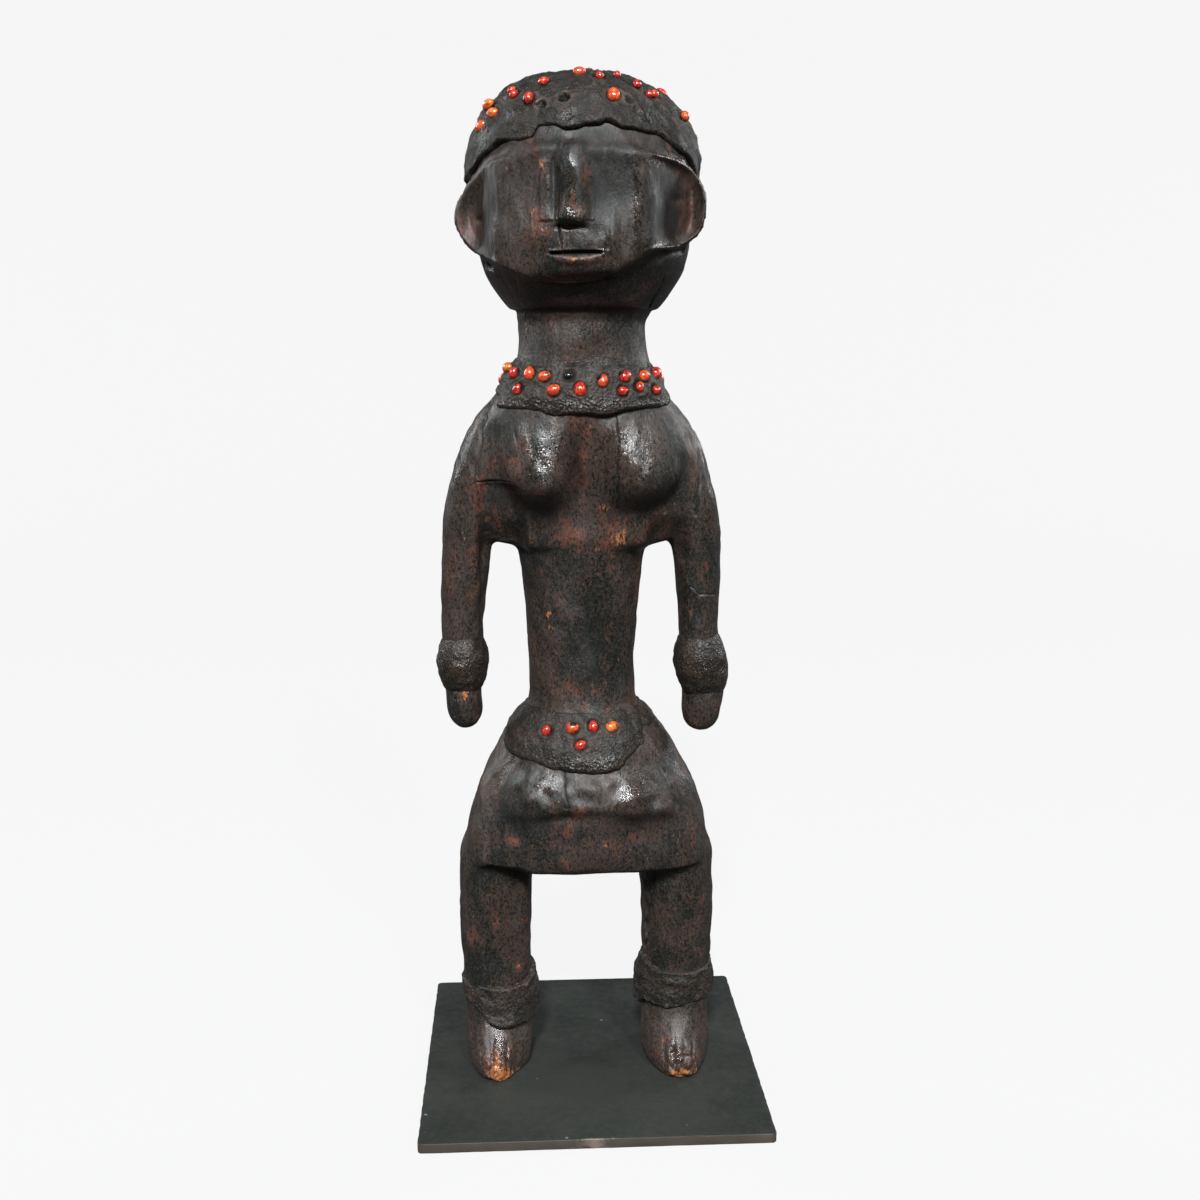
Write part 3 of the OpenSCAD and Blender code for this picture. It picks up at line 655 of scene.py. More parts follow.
def face_and_ears(bm):
    """The slab of the face, with the two ear cups at its sides."""
    front, back = 34, 10

    def place(turn, level):
        share = np.where(level <= front, level / front, 1 - (level - front) / back)
        share = np.clip(share, 0, 1)
        radius = face_radius(turn) * share
        x = FACE_MIDDLE[0] + radius * np.sin(turn)
        z = FACE_MIDDLE[1] + radius * np.cos(turn)
        y = face_depth(x, z)
        ear = ease(np.abs(x), 30, 38)
        rim = bell((1 - share) * face_radius(turn), 2.2, 1.9)
        y = y - 1.5 * rim * ear + 2.4 * ease(share, 0.93, 1.0)
        thick = 6.2 + 12 * (1 - ease(np.abs(x), 30, 40))
        y = np.where(level > front, y + thick * ease(1 - share, 0, 0.12), y)
        return from_head(np.column_stack([x, y, z]))

    wrap_grid(bm, 120, front + back + 1, place)


def hand_shift(side):
    """The figure's left hand hangs a little lower and wider than its right."""

    def finish(points):
        if side < 0:
            return points
        low = ease(-points[:, 2], -185, -160)
        middle = TRUNK_X + 48.7
        moved = points.copy()
        moved[:, 0] = middle + (points[:, 0] - middle) * (1 + 0.13 * low) + 1.7 * low
        moved[:, 2] -= 2.6 * low
        return moved

    return finish


def foot_shape(side):
    """The right foot comes to a point; the left one ends flat across the toes."""

    def finish(points):
        moved = points.copy()
        x = points[:, 0] - (LEGS_X + side * LEG_OUT)
        low = ease(-points[:, 2], -26, -6)
        front = ease(-points[:, 1], 14, 27)
        if side < 0:
            moved[:, 1] += low * front * 0.018 * x**2
            moved[:, 0] -= low * front * 0.4
        else:
            moved[:, 1] = np.maximum(moved[:, 1], -26.2 - 0.2 * points[:, 2])
            moved[:, 0] += low * 0.2 * x * (0.25 - 0.5 * front)
        moved[:, 0] += side * 0.6 * ease(points[:, 2], 40, 55) * (side < 0)
        return moved

    return finish


def rough_block():
    """All the shapes of the figure, still overlapping."""
    bm = bmesh.new()
    limb(bm, TRUNK_ROWS, 96, 2.5)
    for side in (-1, 1):
        limb(bm, ARM_ROWS, 40, 2, hand_shift(side), side, (TRUNK_X, 0))
        limb(bm, LEG_ROWS, 48, 2, foot_shape(side), side, (LEGS_X + side * LEG_OUT, 0))
    limb(bm, HEAD_ROWS, 96, 2, from_head)
    limb(bm, NOSE_ROWS, 32, 1.2, from_head)
    face_and_ears(bm)
    return bm


# Cracks and cuts on the front: points [x, z] across the front view, half width, depth, darkness of the painted shade
# inside
CRACKS = [
    ([(9.4, 276), (10.5, 267), (9.9, 258), (10, 251.7), (9.3, 245), (9.8, 239.4)], 0.32, 1.1, 0.8),
    ([(32.3, 260.2), (33.2, 250.8), (33.3, 240.9)], 0.3, 0.5, 0.3),
    ([(-29.6, 272), (-29.4, 266)], 0.35, 0.6, 0.5),
    ([(-11.3, 135), (-10.5, 125.4), (-9.7, 117)], 0.28, 0.6, 0.5),
    ([(29.5, 133), (32, 127), (34.3, 118.4), (35.3, 107.8), (34.4, 98.3)], 0.32, 0.9, 0.8),
    ([(-44.2, 249.8), (-37.6, 250.2), (-31.7, 250.5)], 0.5, 0.6, 0.7),
    ([(-38.5, 281), (-41.5, 273), (-43.5, 264), (-44.8, 254.4), (-44.3, 244)], 0.9, 0.6, 0.25),
    ([(40, 279), (42.6, 266), (43.8, 250), (42, 236)], 0.8, 0.6, 0.3),
    ([(41.0, 206.4), (44.3, 203.5), (51.2, 202.6)], 0.4, 0.35, 0.2),
    ([(-54.9, 161), (-55.4, 153)], 0.6, 0.8, 0.6),
    ([(44.1, 162.5), (53.6, 165)], 0.5, 0.6, 0.4),
    ([(26.6, 87), (24.8, 73.6), (24.1, 60.3), (23.7, 46)], 0.7, 1.0, 0.6),
]
# Cracks on the head, in the head's own front view
HEAD_CRACKS = [
    ([(-4.8, 345.6), (-4.6, 341), (-3.4, 336.8)], 0.35, 1.4, 1.0),
    ([(35, 333), (31, 325), (26.5, 317)], 0.35, 0.7, 0.6),
    ([(-35.5, 334), (-33.5, 331)], 0.5, 1.0, 0.9),
]


def crack_lines():
    """Each crack, and whether it is drawn square to the head."""
    for line in CRACKS:
        yield *line, False
    for line in HEAD_CRACKS:
        yield *line, True


def refine(obj):
    """Finer faces where the small features are: the face, and along every crack."""
    bm = bmesh.new()
    bm.from_mesh(obj.data)
    for turn_of in range(2):
        bm.verts.ensure_lookup_table()
        points = np.array([v.co for v in bm.verts])
        head = to_head(points)
        fine = np.zeros(len(points), bool)
        if turn_of == 0:
            fine |= (head[:, 1] < -8) & (np.abs(head[:, 0]) < 52) & (np.abs(head[:, 2] - 348) < 27)
            fine |= (points[:, 2] < 16) & (points[:, 1] < -16)
        reach = (2.6, 1.3)[turn_of]
        for path, half, _, _, on_head in crack_lines():
            flat = head if on_head else points
            away, _ = path_distance(flat[:, [0, 2]], path)
            fine |= (away < half + reach) & (points[:, 1] < -4)
        if turn_of == 1:
            fine |= (head[:, 1] < -36) & (np.abs(head[:, 0] - 1) < 13.5) & (np.abs(head[:, 2] - 338.5) < 10)
        edges = [e for e in bm.edges if fine[e.verts[0].index] and fine[e.verts[1].index]]
        bmesh.ops.subdivide_edges(bm, edges=edges, cuts=1, use_grid_fill=True)
    bmesh.ops.triangulate(bm, faces=[f for f in bm.faces if len(f.verts) > 4])
    bm.to_mesh(obj.data)
    bm.free()


# Each breast: x of its middle, its half width inwards and outwards, and how far it stands out
BREASTS = ((-18.5, 11.5, 18, 8.2), (17.5, 12, 22, 8.0))


def carve_body(points, normals):
    """Swells and hollows of the trunk and limbs."""
    x, y, z = points.T
    front = ease(-normals[:, 1], -0.1, 0.5)
    push = np.zeros(len(points))
    for middle, inner, outer, out in BREASTS:
        across = (x - middle) * (1 if middle > 0 else -1)
        across = np.where(across < 0, across / inner, across / outer)
        level = 236.5 + 0.03 * (x - middle) ** 2
        fall = ease(z, level, level + 13) ** 0.75 * (1 - ease(z, level + 10, 280))
        push += out * front * np.clip(1 - across**2, 0, 1) ** 1.1 * fall
    web = ease(x, -46, -42) * ease(-x, 24, 31) * ease(-z, -250.4, -248.4)
    push -= 2.2 * front * web
    push -= front * 1.6 * bell(x, -4.5, 4.5) * ease(z, 226, 240) * ease(-z, -276, -262)
    ledge = 119.5 - 0.0035 * (x + 1) ** 2
    rise, fall = ease(z, ledge - 3.5, ledge + 1.5), ease(-z, -137, -121)
    push += front * 3.0 * rise * fall * ease(-np.abs(x), -39, -26)
    push -= front * 0.8 * bell(z, 108, 6) * ease(-np.abs(x), -42, -26)
    rise, fall = ease(z, 112, 118), ease(-z, -137, -130)
    push += front * 0.45 * waves(points, 9, 75) * rise * fall * ease(-np.abs(x), -36, -26)
    push -= 0.8 * front * bell(z, 218, 7) * ease(-np.abs(x + 3.5), -24, -8)
    moved = points + normals * push[:, None]
    armpits = ease(x, -46, -42) * ease(-x, 24, 30) + ease(x, 20, 26) * ease(-x, -41, -36)
    moved[:, 1] *= 1 - 0.42 * armpits * ease(-z, -238, -226) * ease(z, 214, 222) * (y < 0)
    return moved


# On the head's own front view: [x, z, half width, half height, depth] and [x, z, width, depth]
EYE_HOLLOWS = [(16, 359, 8, 9, 1), (-18.5, 360, 6, 8, 1)]
EAR_PITS = ((37.4, 356.4, 1.7, 2.4), (-37.6, 349.3, 1.6, 2.2), (38.4, 340.4, 1.3, 2.0))


def carve_face(points, normals):
    """The mouth, the lips, the ears' rims and the marks of the knife, cut into the front of the head."""
    head = to_head(points)
    x, y, z = head.T
    front = ease(-normals[:, 1], 0.2, 0.55) * ease(-y, 26, 31) * ease(z, 318, 324)
    push = np.zeros(len(points))
    muzzle = ease(x, -17, -12) * ease(-x, -17.5, -14.5) * ease(z, 325, 329) * ease(-z, -353, -339)
    push += 1.8 * muzzle
    block = ease(x, -7.4, -6.6) * ease(-x, -14, -13) * ease(z, 336.6, 337.2) * ease(-z, -347, -342.5)
    push -= 0.4 * block
    under = ease(x, -7.6, -6) * ease(-x, -6.4, -4.2) * bell(z - 344.9 - 0.25 * np.sin(x), 0, 0.9)
    push -= 1.0 * under
    gape = np.clip(1 - ((x - 1.3) / 10.4) ** 2, 0, 1)
    slot = ease(gape, 0.02, 0.3) * bell(z - 335.9 - 0.02 * x, 0, 0.4 + 0.4 * gape, 4)
    push -= 2.4 * slot
    lip_middle = 333.2 + 0.014 * (x - 1.5) ** 2
    lip = np.clip(1 - ((x - 1.5) / 10.5) ** 2, 0, 1) ** 0.5 * bell(z, lip_middle, 1.7)
    push += 1.7 * lip
    chin = bell(x, 2, 15) * bell(z, 327.2, 2.2)
    push -= 1.8 * chin
    for edge in (-6.6, 7.2):
        push -= 0.9 * bell(x, edge, 1.1) * ease(z, 346, 349) * ease(-z, -372, -366)
    pad = ease(x, -12.5, -11.3) * ease(-x, -8.4, -7.6) * ease(z, 346.5, 348) * ease(-z, -371, -366)
    push += 0.9 * pad
    push -= 1.7 * spots(head[:, [0, 2]], EYE_HOLLOWS)
    facet = ease(x, 21.5, 24.5) * ease(-x, -31, -27)
    push += 0.6 * facet * ease(z, 336, 342) * ease(-z, -368, -360)
    brow = ease(z, 366.5, 373) * ease(-np.abs(x), -30, -20)
    push += 0.7 * brow
    head = head.copy()
    head[:, 1] -= push * front
    edge_at = face_radius(np.arctan2(x - FACE_MIDDLE[0], z - FACE_MIDDLE[1]))
    within = edge_at - np.hypot(x - FACE_MIDDLE[0], z - FACE_MIDDLE[1])
    facing = ease(-normals[:, 1], 0.0, 0.4) * (y < -5)
    ear = ease(np.abs(x), 25, 31) * facing
    bowl = ease(np.abs(x), 29, 40) * ease(within, 2.4, 7) * facing
    rim = bell(within, 1.5, 1.35) * ear
    head[:, 1] += 2.0 * bowl - np.where(x > 0, 2.1, 1.2) * rim
    below = 0.7 * bell(within, -2.0, 1.7) * ease(-z, -352, -340) * (y < -12)
    depth = (-1.1 * below)[:, None]
    head = head + to_head(points + normals) * depth - to_head(points) * depth
    for pit_x, pit_z, wide, deep in EAR_PITS:
        away = np.hypot(x - pit_x, z - pit_z)
        head[:, 1] += deep * bell(away, 0, wide) * (y < 0)
    return from_head(head)


# Grooves between the toes: the foot's middle, their depth, and how far each is from the middle
TOE_GROOVES = ((-38.6, 0.8, (-7.5, -3.2, 2.8, 7)), (36.2, 1.2, (-5.6, -1.6, 2.4, 6.2)))


def carve_feet(points):
    """Ridged toes with a broken, splintered end."""
    x, y, z = points.T
    low = ease(-z, -17, -10) * ease(-y, 15, 20)
    push = np.zeros(len(points))
    for middle, depth, grooves in TOE_GROOVES:
        near = (np.abs(x - middle) < 16) * low
        for groove in grooves:
            push -= depth * near * bell(x - middle, groove, 0.75)
        push += near * 0.35 * waves(points, 2.2, 71, 1.6) * ease(-y, 20, 26)
    return points + np.column_stack([0 * push, -push, 0.35 * push])


def carve_marks(points, normals, look):
    """Tool facets, wear and the fine unevenness of old wood."""
    z = points[:, 2]
    depth = look.tool_marks * 1000
    push = 0.55 * waves(points, 26, 51, 1.9) + 0.32 * waves(points, 11, 52, 1.7)
    push = depth * (push + 0.2 * waves(points, 5.2, 53, 2.2))
    push += depth * 0.12 * waves(points, 2.9, 54, 2.6)
    calm = ease(z, 0.3, 2.5) * (1 - 0.7 * ease(-normals[:, 2], 0.2, 0.6))
    crease = bell(z, 315.4, 1.0) * (np.hypot(points[:, 0] + 2, points[:, 1]) > 20)
    return points + normals * (push * calm - 1.0 * crease)[:, None]


def flat_soles(points):
    """Puts the soles flat on the plate."""
    points[:, 2] = np.where(points[:, 2] < 0.45, 0, points[:, 2])
    return points


def cut_cracks(points, normals):
    """Opens the drying cracks and says how much painted shade each point gets from the crack it lies in."""
    head = to_head(points)
    inside = np.zeros(len(points))
    push = np.zeros(len(points))
    wander = 0.22 * waves(points, 5, 61)
    for path, half, depth, dark, on_head in crack_lines():
        flat = (head if on_head else points)[:, [0, 2]] + wander[:, None] * [1, 0.2]
        away, along = path_distance(flat, path)
        width = half * (0.35 + 0.65 * np.sin(np.clip(along, 0.06, 0.94) * math.pi))
        hole = bell(away, 0, width) * (normals[:, 1] < 0.15) * (points[:, 1] < 0)
        push -= depth * hole
        inside = np.maximum(inside, dark * hole)
    return points + normals * push[:, None], inside


# Bare or reddened wood on the front: [x, z, half width, half height, strength]
WARM_SPOTS = [
    (-5.5, 262, 5, 12, 0.75), (-4, 246, 4.5, 9, 0.9), (-6.5, 229, 9, 6, 0.9), (9, 230, 7, 7, 0.9),
    (2, 240, 3.5, 4, 0.8), (-5, 274, 13, 4.5, 0.5), (-33.6, 258, 5, 5, 0.7), (-42, 247, 5, 14, 0.7),
    (-40, 231, 6, 8, 0.9), (-30, 228, 5, 6, 0.6), (29, 230, 5, 8, 0.7), (-56, 225, 4, 30, 0.35),
    (-55, 196, 4, 16, 0.35), (-12, 165, 8, 7, 0.8), (-1, 164, 6, 6, 0.6), (-18.5, 176, 4, 7, 0.7),
    (8, 158, 8, 4, 0.55), (19, 205, 3, 24, 0.6), (-7.5, 116, 7, 6, 1.0), (-30, 105, 8, 2.6, 0.8),
    (6, 105.5, 6, 3, 0.9), (16.6, 107, 3, 2, 0.9), (-11, 111, 6, 5, 0.6), (24, 144, 10, 4, 0.5),
    (-32, 76, 4, 5, 0.8), (-41, 74, 5, 5, 0.6), (-40, 65, 4, 3.4, 0.9), (-28.9, 65, 2.6, 2.6, 1.0),
    (-26.9, 55.7, 2.2, 3, 0.8), (-50, 59, 3, 6, 0.8), (-30.8, 44.5, 2.2, 2.2, 0.9),
    (40.5, 63, 3, 3, 0.7), (33.8, 57.3, 4, 3, 0.7), (34.4, 43.2, 2.2, 2.2, 0.9), (-52, 164, 4, 4, 0.7),
    (-39, 8, 14, 12, 0.8), (36.5, 8, 14, 12, 0.65), (20, 84, 4, 22, 0.4), (46, 205, 8, 20, 0.25),
    (-50, 100, 6, 14, 0.35), (44, 100, 8, 16, 0.3),
]
RAW_SPOTS = [
    (-16.7, 197, 1.3, 1.5, 1.1), (-16, 191, 1.3, 2.8, 0.9), (-41.5, 234.4, 1.8, 1.6, 1.2),
    (5.5, 240.6, 2.6, 2, 0.9), (11, 228.5, 3.2, 5, 0.9), (2, 223, 3, 2, 0.7),
    (-51.2, 163, 1.9, 2.4, 1.3), (-55, 160, 2, 2, 0.8), (-38.5, 2, 5.5, 4.6, 1.5),
    (-39.5, 10, 1.6, 6, 0.8), (36.5, 2, 8, 3.2, 1.1), (-28.9, 65.2, 1, 1, 0.9),
    (-30.8, 44.3, 1.1, 1.1, 1.1), (5.4, 104.6, 1.2, 1.6, 0.9), (-13, 275, 3, 2, 0.6),
    (-10, 204, 2, 4, 0.5), (-52.5, 72, 1, 2.5, 0.7), (-7, 165, 2, 2.5, 0.5), (-13.5, 181, 1.5, 3, 0.5),
]
SHINE_SPOTS = [
    (-17, 255, 11, 15, 1.3), (-20, 246, 11, 9, 1.0), (9, 258, 6, 13, 1.2), (18.5, 254, 9, 14, 1.3),
    (18, 245, 10, 8, 1.0), (-19, 130, 8, 5, 0.7), (17, 124, 6, 8, 0.7), (-38.5, 12, 3, 9, 0.9),
    (35, 10, 3, 8, 0.8), (-48, 175, 8, 8, 0.3), (-2, 308, 10, 6, 0.7), (0, 200, 12, 30, 0.3),
    (-52, 215, 6, 30, 0.25), (46, 215, 8, 30, 0.2), (38, 75, 6, 24, 0.3), (-40, 75, 8, 24, 0.2),
]
# Painted shade and painted dark reflection on the front, most under the breasts, the chin and the hip ledge: [x, z,
# half width, half height, strength]
SHADE_SPOTS = [
    (-19, 244, 10, 8, 1.1), (19, 244, 13, 8, 1.0), (-18, 236, 8, 4, 0.8), (-37, 244, 7, 5, 0.9),
    (0, 192, 9, 18, 0.5), (0, 316, 24, 3, 0.7), (-25, 114, 12, 3, 0.9), (18, 114, 12, 3, 0.9),
    (-2, 319, 16, 3, 0.7), (33, 222, 4, 6, 0.5), (-20, 218, 4, 10, 0.5),
]
# Painted shade on the head, in its own front view: the nose's flanks, the eye hollows, the ear cups and the forehead
HEAD_SHADE = [
    (39, 354, 4.5, 10, 0.8), (-39, 351, 4, 9, 0.6), (14, 359, 7, 9, 0.75), (-19, 361, 5, 7, 0.6),
    (8.6, 357, 1.8, 12, 0.6), (-7, 358, 1.3, 11, 0.6), (-30, 352, 5, 14, 0.5), (29, 352, 5, 14, 0.5),
    (0, 375, 34, 6, 0.8), (20, 344, 6, 8, 0.3), (34, 347, 3.5, 16, 0.7), (-34, 344, 3.5, 16, 0.7),
]
HEAD_WARM = [
    (-11, 366, 2.2, 5.5, 0.9), (5, 364, 3, 9, 0.9), (-14, 350, 2, 6, 0.9), (0, 352, 4, 5, 0.6),
    (-40, 347, 6, 8, 1.0), (39.5, 351, 5, 9, 1.3), (1.5, 333.3, 10, 1.7, 1.3), (-19, 329, 5, 4, 0.5),
    (43.5, 364.5, 4, 3, 0.6), (6, 323, 9, 3, 0.4), (17, 376, 16, 2, 0.5), (-25, 370, 8, 6, 0.5),
    (-20, 350, 5, 12, 0.3),
]
HEAD_RAW = [
    (-11.3, 366.8, 1.3, 4, 1.0), (5, 366, 1.5, 5, 0.55), (-14.4, 350.5, 1, 3.6, 0.8),
    (1.5, 333.2, 7.5, 1.2, 0.75), (4.5, 351, 1.4, 4, 0.5), (-20.5, 329, 2, 1.6, 0.5),
]
HEAD_SHINE = [
    (-1, 360, 2.6, 12, 1.4), (23.5, 346, 1.5, 13, 1.2), (13, 334, 3, 8, 1.0), (-8, 328.5, 4, 3, 1.2),
    (-13, 340, 5, 8, 0.7), (34, 370, 8, 2, 1.0), (6, 327, 10, 3, 0.6), (47, 356, 3, 12, 0.6),
    (30, 338, 6, 2, 0.9),
]


# The bores show bare wood below this height and this near to their middle lines
BORE_TOP, BORE_REACH = 33, 2.6


def mark_wood(mesh, crack_shade):
    """Wear, redness, shine and painted shade, stored on the points."""
    points, normals = mesh_arrays(mesh)
    x, y, z = points.T
    relief = ((points - softened(mesh, points, 14)) * normals).sum(1)
    hollow = ease(-relief, 0.12, 0.75)
    ridge = ease(relief, 0.1, 0.7)
    forward = ease(-normals[:, 1], -0.25, 0.35)
    flat, head = points[:, [0, 2]], to_head(points)
    on_head = ease(z, 300, 316)

    def marked(body_spots, head_spots):
        return spots(flat, body_spots) * (1 - on_head) + spots(head[:, [0, 2]], head_spots) * on_head

    warm = forward * marked(WARM_SPOTS, HEAD_WARM)
    scattered = ease(waves(points, 16, 81, 1.7) + 0.5 * waves(points, 6, 82), 0.9, 2.0)
    warm += 0.6 * scattered + 0.35 * ridge + 0.1
    warm += (1 - forward) * 0.5 * ease(waves(points, 30, 83, 2), 0.5, 1.6)
    raw = forward * marked(RAW_SPOTS, HEAD_RAW)
    raw += 0.5 * ease(waves(points, 7, 84) + 0.7 * waves(points, 3, 85), 2.1, 3.0)
    raw += 0.25 * ridge * ease(waves(points, 9, 86), 0, 1.2)
    shine = forward * marked(SHINE_SPOTS, HEAD_SHINE)
    shine += 0.35 * ease(waves(points, 28, 87, 1.8), 0.2, 1.4)
    # Painted shade: darker in hollows of the relief, inside the cracks and the mouth slot, and at the listed shade
    # spots; none in the bores
    painted_shade = np.clip(0.75 * hollow + crack_shade, 0, 1)
    mouth = bell(head[:, 2], 336.0, 0.95, 4) * ease(-np.abs(head[:, 0] - 1.2), -11, -9)
    painted_shade = np.maximum(painted_shade, mouth * (head[:, 1] > -43.2) * forward * on_head)
    painted_shade = np.maximum(painted_shade, np.clip(0.75 * forward * marked(SHADE_SPOTS, HEAD_SHADE), 0, 0.85))
    bored = (z < BORE_TOP) & (np.hypot(np.abs(x - LEGS_X) - LEG_OUT, y) < BORE_REACH)
    add_attribute(mesh, "warm", np.clip(warm, 0, 1.5))
    add_attribute(mesh, "wear", np.where(bored, 1.2, np.clip(raw, 0, 1.6)))
    add_attribute(mesh, "shine", np.clip(shine, 0, 1.3))
    add_attribute(mesh, "painted_shade", np.where(bored, 0, painted_shade))


def bore_feet(obj):
    """Blind bores that the two pins slide in."""
    bm = bmesh.new()
    for node in ("left_mount_pin", "right_mount_pin"):
        low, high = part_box(node)
        radius = (high.x - low.x) / 2 / UNIT + 0.12
        tall = (high.z - SOLE) / UNIT + 2.5
        made = bmesh.ops.create_cone(bm, segments=48, radius1=radius, radius2=radius, depth=tall,
                                     cap_ends=True)
        shift = Vector(((low.x + high.x) / 2 / UNIT, (low.y + high.y) / 2 / UNIT, tall / 2 - 1))
        bmesh.ops.translate(bm, verts=made["verts"], vec=shift)
    drill = new_object("drill", bm)
    cut = obj.modifiers.new("bores", "BOOLEAN")
    cut.object, cut.operation, cut.solver = drill, "DIFFERENCE", "EXACT"
    mesh = baked(obj)
    bpy.data.objects.remove(drill)
    return mesh


class DOLL_OT_wood(bpy.types.Operator):
    """Carve the figure from one block of dark wood"""

    bl_idname = "doll.wood"
    bl_label = "Carved figure"

    def execute(self, context):
        look = context.scene.doll_look
        obj = new_object("carved_wood", rough_block())
        remesh = obj.modifiers.new("block", "REMESH")
        remesh.mode, remesh.voxel_size = "VOXEL", look.wood_detail * 1000
        mesh = baked(obj)
        reshape(mesh, lambda points, normals: softened(mesh, points, 3))
        reshape(mesh, carve_body)
        reshape(mesh, lambda points, normals: softened(mesh, points, 2))
        refine(obj)
        reshape(mesh, lambda points, normals: carve_marks(points, normals, look))
        reshape(mesh, lambda points, normals: carve_feet(carve_face(points, normals)))
        reshape(mesh, lambda points, normals: flat_soles(cut_cracks(points, normals)[0]))
        mesh = bore_feet(obj)
        mark_wood(mesh, cut_cracks(*mesh_arrays(mesh))[1])
        mesh.calc_loop_triangles()
        thin = obj.modifiers.new("thin", "DECIMATE")
        thin.ratio = min(1.0, WOOD_TRIANGLES / len(mesh.loop_triangles))
        baked(obj)
        set_in_place(obj, wood_material(look), "figure", ["carved_figure"])
        return {"FINISHED"}


# ---- Paste ----
# Edges of the paste: [degrees round from the front, height]
CROWN_EDGE = [
    (0, 378.8), (6, 379.6), (12.7, 380.8), (16, 382), (20, 380.4), (23.7, 379), (39.6, 378.4),
    (45, 377.2), (63, 372.4), (85, 365), (110, 362.5), (135, 364.5), (160, 362), (180, 363.5),
    (205, 361.5), (230, 364.5), (255, 362), (270, 364), (297, 367.5), (310.5, 372.8), (325, 375.7),
    (340.5, 376), (343.5, 379.8), (352, 380.5), (357, 379),
]
# Folds running down the cap: [degrees round from the front, height].
# One mm of height counts as so many degrees.
CROWN_FOLDS = (
    [(34, 397), (42, 389), (50, 380)],
    [(42, 397), (52, 389), (59, 380)],
    [(28, 392), (36, 385)],
)
DEGREES_PER_MM = 1.4
# Sockets that lost their seeds: x, z, radius, depth, darkness of the painted shade in them
EMPTY_SOCKETS = ((-10.2, 390.9, 2.4, 3.0, 0.9), (13.4, 390.4, 2.2, 1.2, 0.4), (-18.9, 388.4, 2.0, 2.6, 0.9))
COLLAR_EDGE = [
    (0, 276.2), (9.5, 275.6), (21.5, 277.2), (36, 278.3), (59, 279), (75, 281), (90, 283), (120, 281),
    (150, 278), (180, 279), (210, 278.5), (240, 281.5), (270, 284), (293.4, 283), (302.5, 278.8),
    (315, 277.8), (336.3, 277.2), (347, 275.2), (356, 276.4),
]
GIRDLE_SHINE = [(-9, 138, 7, 3, 1.0), (8, 138.5, 6, 3, 0.9), (0, 137, 16, 3.5, 0.5)]
GIRDLE_EDGE = [
    (0, 133.5), (14.5, 134.6), (24, 139), (39, 143), (60, 146), (90, 146.5), (120, 143), (150, 140),
    (180, 138), (210, 140), (240, 141.5), (270, 142), (297, 139.4), (326, 137.3), (343, 135),
]


def band(bm, rows, sides, low, high, thickness, finish, rise, lumpy, seed, round_all=False):
    """A closed band of paste round some rows. Low, high and the three of thickness turn an angle into mm."""
    lip, middle, top = thickness
    bottom, body, crest, inner = 9, 26, 6, 8
    levels = bottom + body + crest + inner + 1

    def place(turn, level):
        a, b = low(turn), high(turn)
        part = np.clip(level / bottom, 0, 1)
        z = a + rise * (1 - np.cos(part * QUARTER))
        out = -PASTE_ROOT + (lip(turn) + PASTE_ROOT) * np.sin(part * QUARTER)
        share = np.clip((level - bottom) / body, 0, 1)
        on_body = level > bottom
        z = np.where(on_body, a + rise + (b - 1 - a - rise) * share, z)
        thick = lip(turn) + (middle(turn) - lip(turn)) * ease(share, 0.02, 0.3)
        thick = thick + (top(turn) - thick) * ease(share, 0.55, 1)
        out = np.where(on_body, thick, out)
        ending = np.clip((level - bottom - body) / crest, 0, 1)
        z = np.where(level > bottom + body, b - 1 + np.sin(ending * QUARTER), z)
        shoulder = (top(turn) + PASTE_ROOT) * np.cos(ending * QUARTER) - PASTE_ROOT
        out = np.where(level > bottom + body, shoulder, out)
        back = np.clip((level - bottom - body - crest) / inner, 0, 1)
        returning = level > bottom + body + crest
        z = np.where(returning, b + (a - b) * back, z)
        out = np.where(returning, -PASTE_ROOT - 0.5 * np.sin(back * math.pi), out)
        if round_all:
            lift = np.sin(np.clip((z - a) / (b - a), 0, 1) * math.pi) ** 0.75
            out = np.where(returning, out, -0.6 + (middle(turn) + 0.6) * lift)
        base = on_rows(rows, turn, z)
        lumps = lumpy * (waves(base, 6.5, seed) + 0.5 * waves(base, 2.6, seed + 1))
        out = np.where(returning, out, out + lumps * np.clip((out + PASTE_ROOT) / 1.6, 0, 1))
        return finish(base + outward(rows, turn, z) * out[:, None])

    wrap_grid(bm, sides, levels, place)


def fixed(value):
    """The same value all round."""
    return lambda turn: np.full(len(turn), float(value))


def table(rows):
    """A value that follows a table round the figure."""
    return lambda turn: looped(rows, turn)


def on_front(points, x, z):
    """The point on the front that is nearest to x, z."""
    return points[np.argmin(np.hypot(points[:, 0] - x, points[:, 2] - z) + 99 * (points[:, 1] >= 0))]


def dent(points, normals, centre, radius, depth, rim):
    """Presses a round hollow with a raised rim into the paste."""
    away = np.linalg.norm(points - centre, axis=1)
    hollow = np.clip(1 - (away / radius) ** 2, 0, 1) ** 0.7
    ring = bell(away - radius, 0.35, 0.5)
    return points + normals * (rim * ring - depth * hollow)[:, None], np.maximum(hollow, 0.6 * ring)


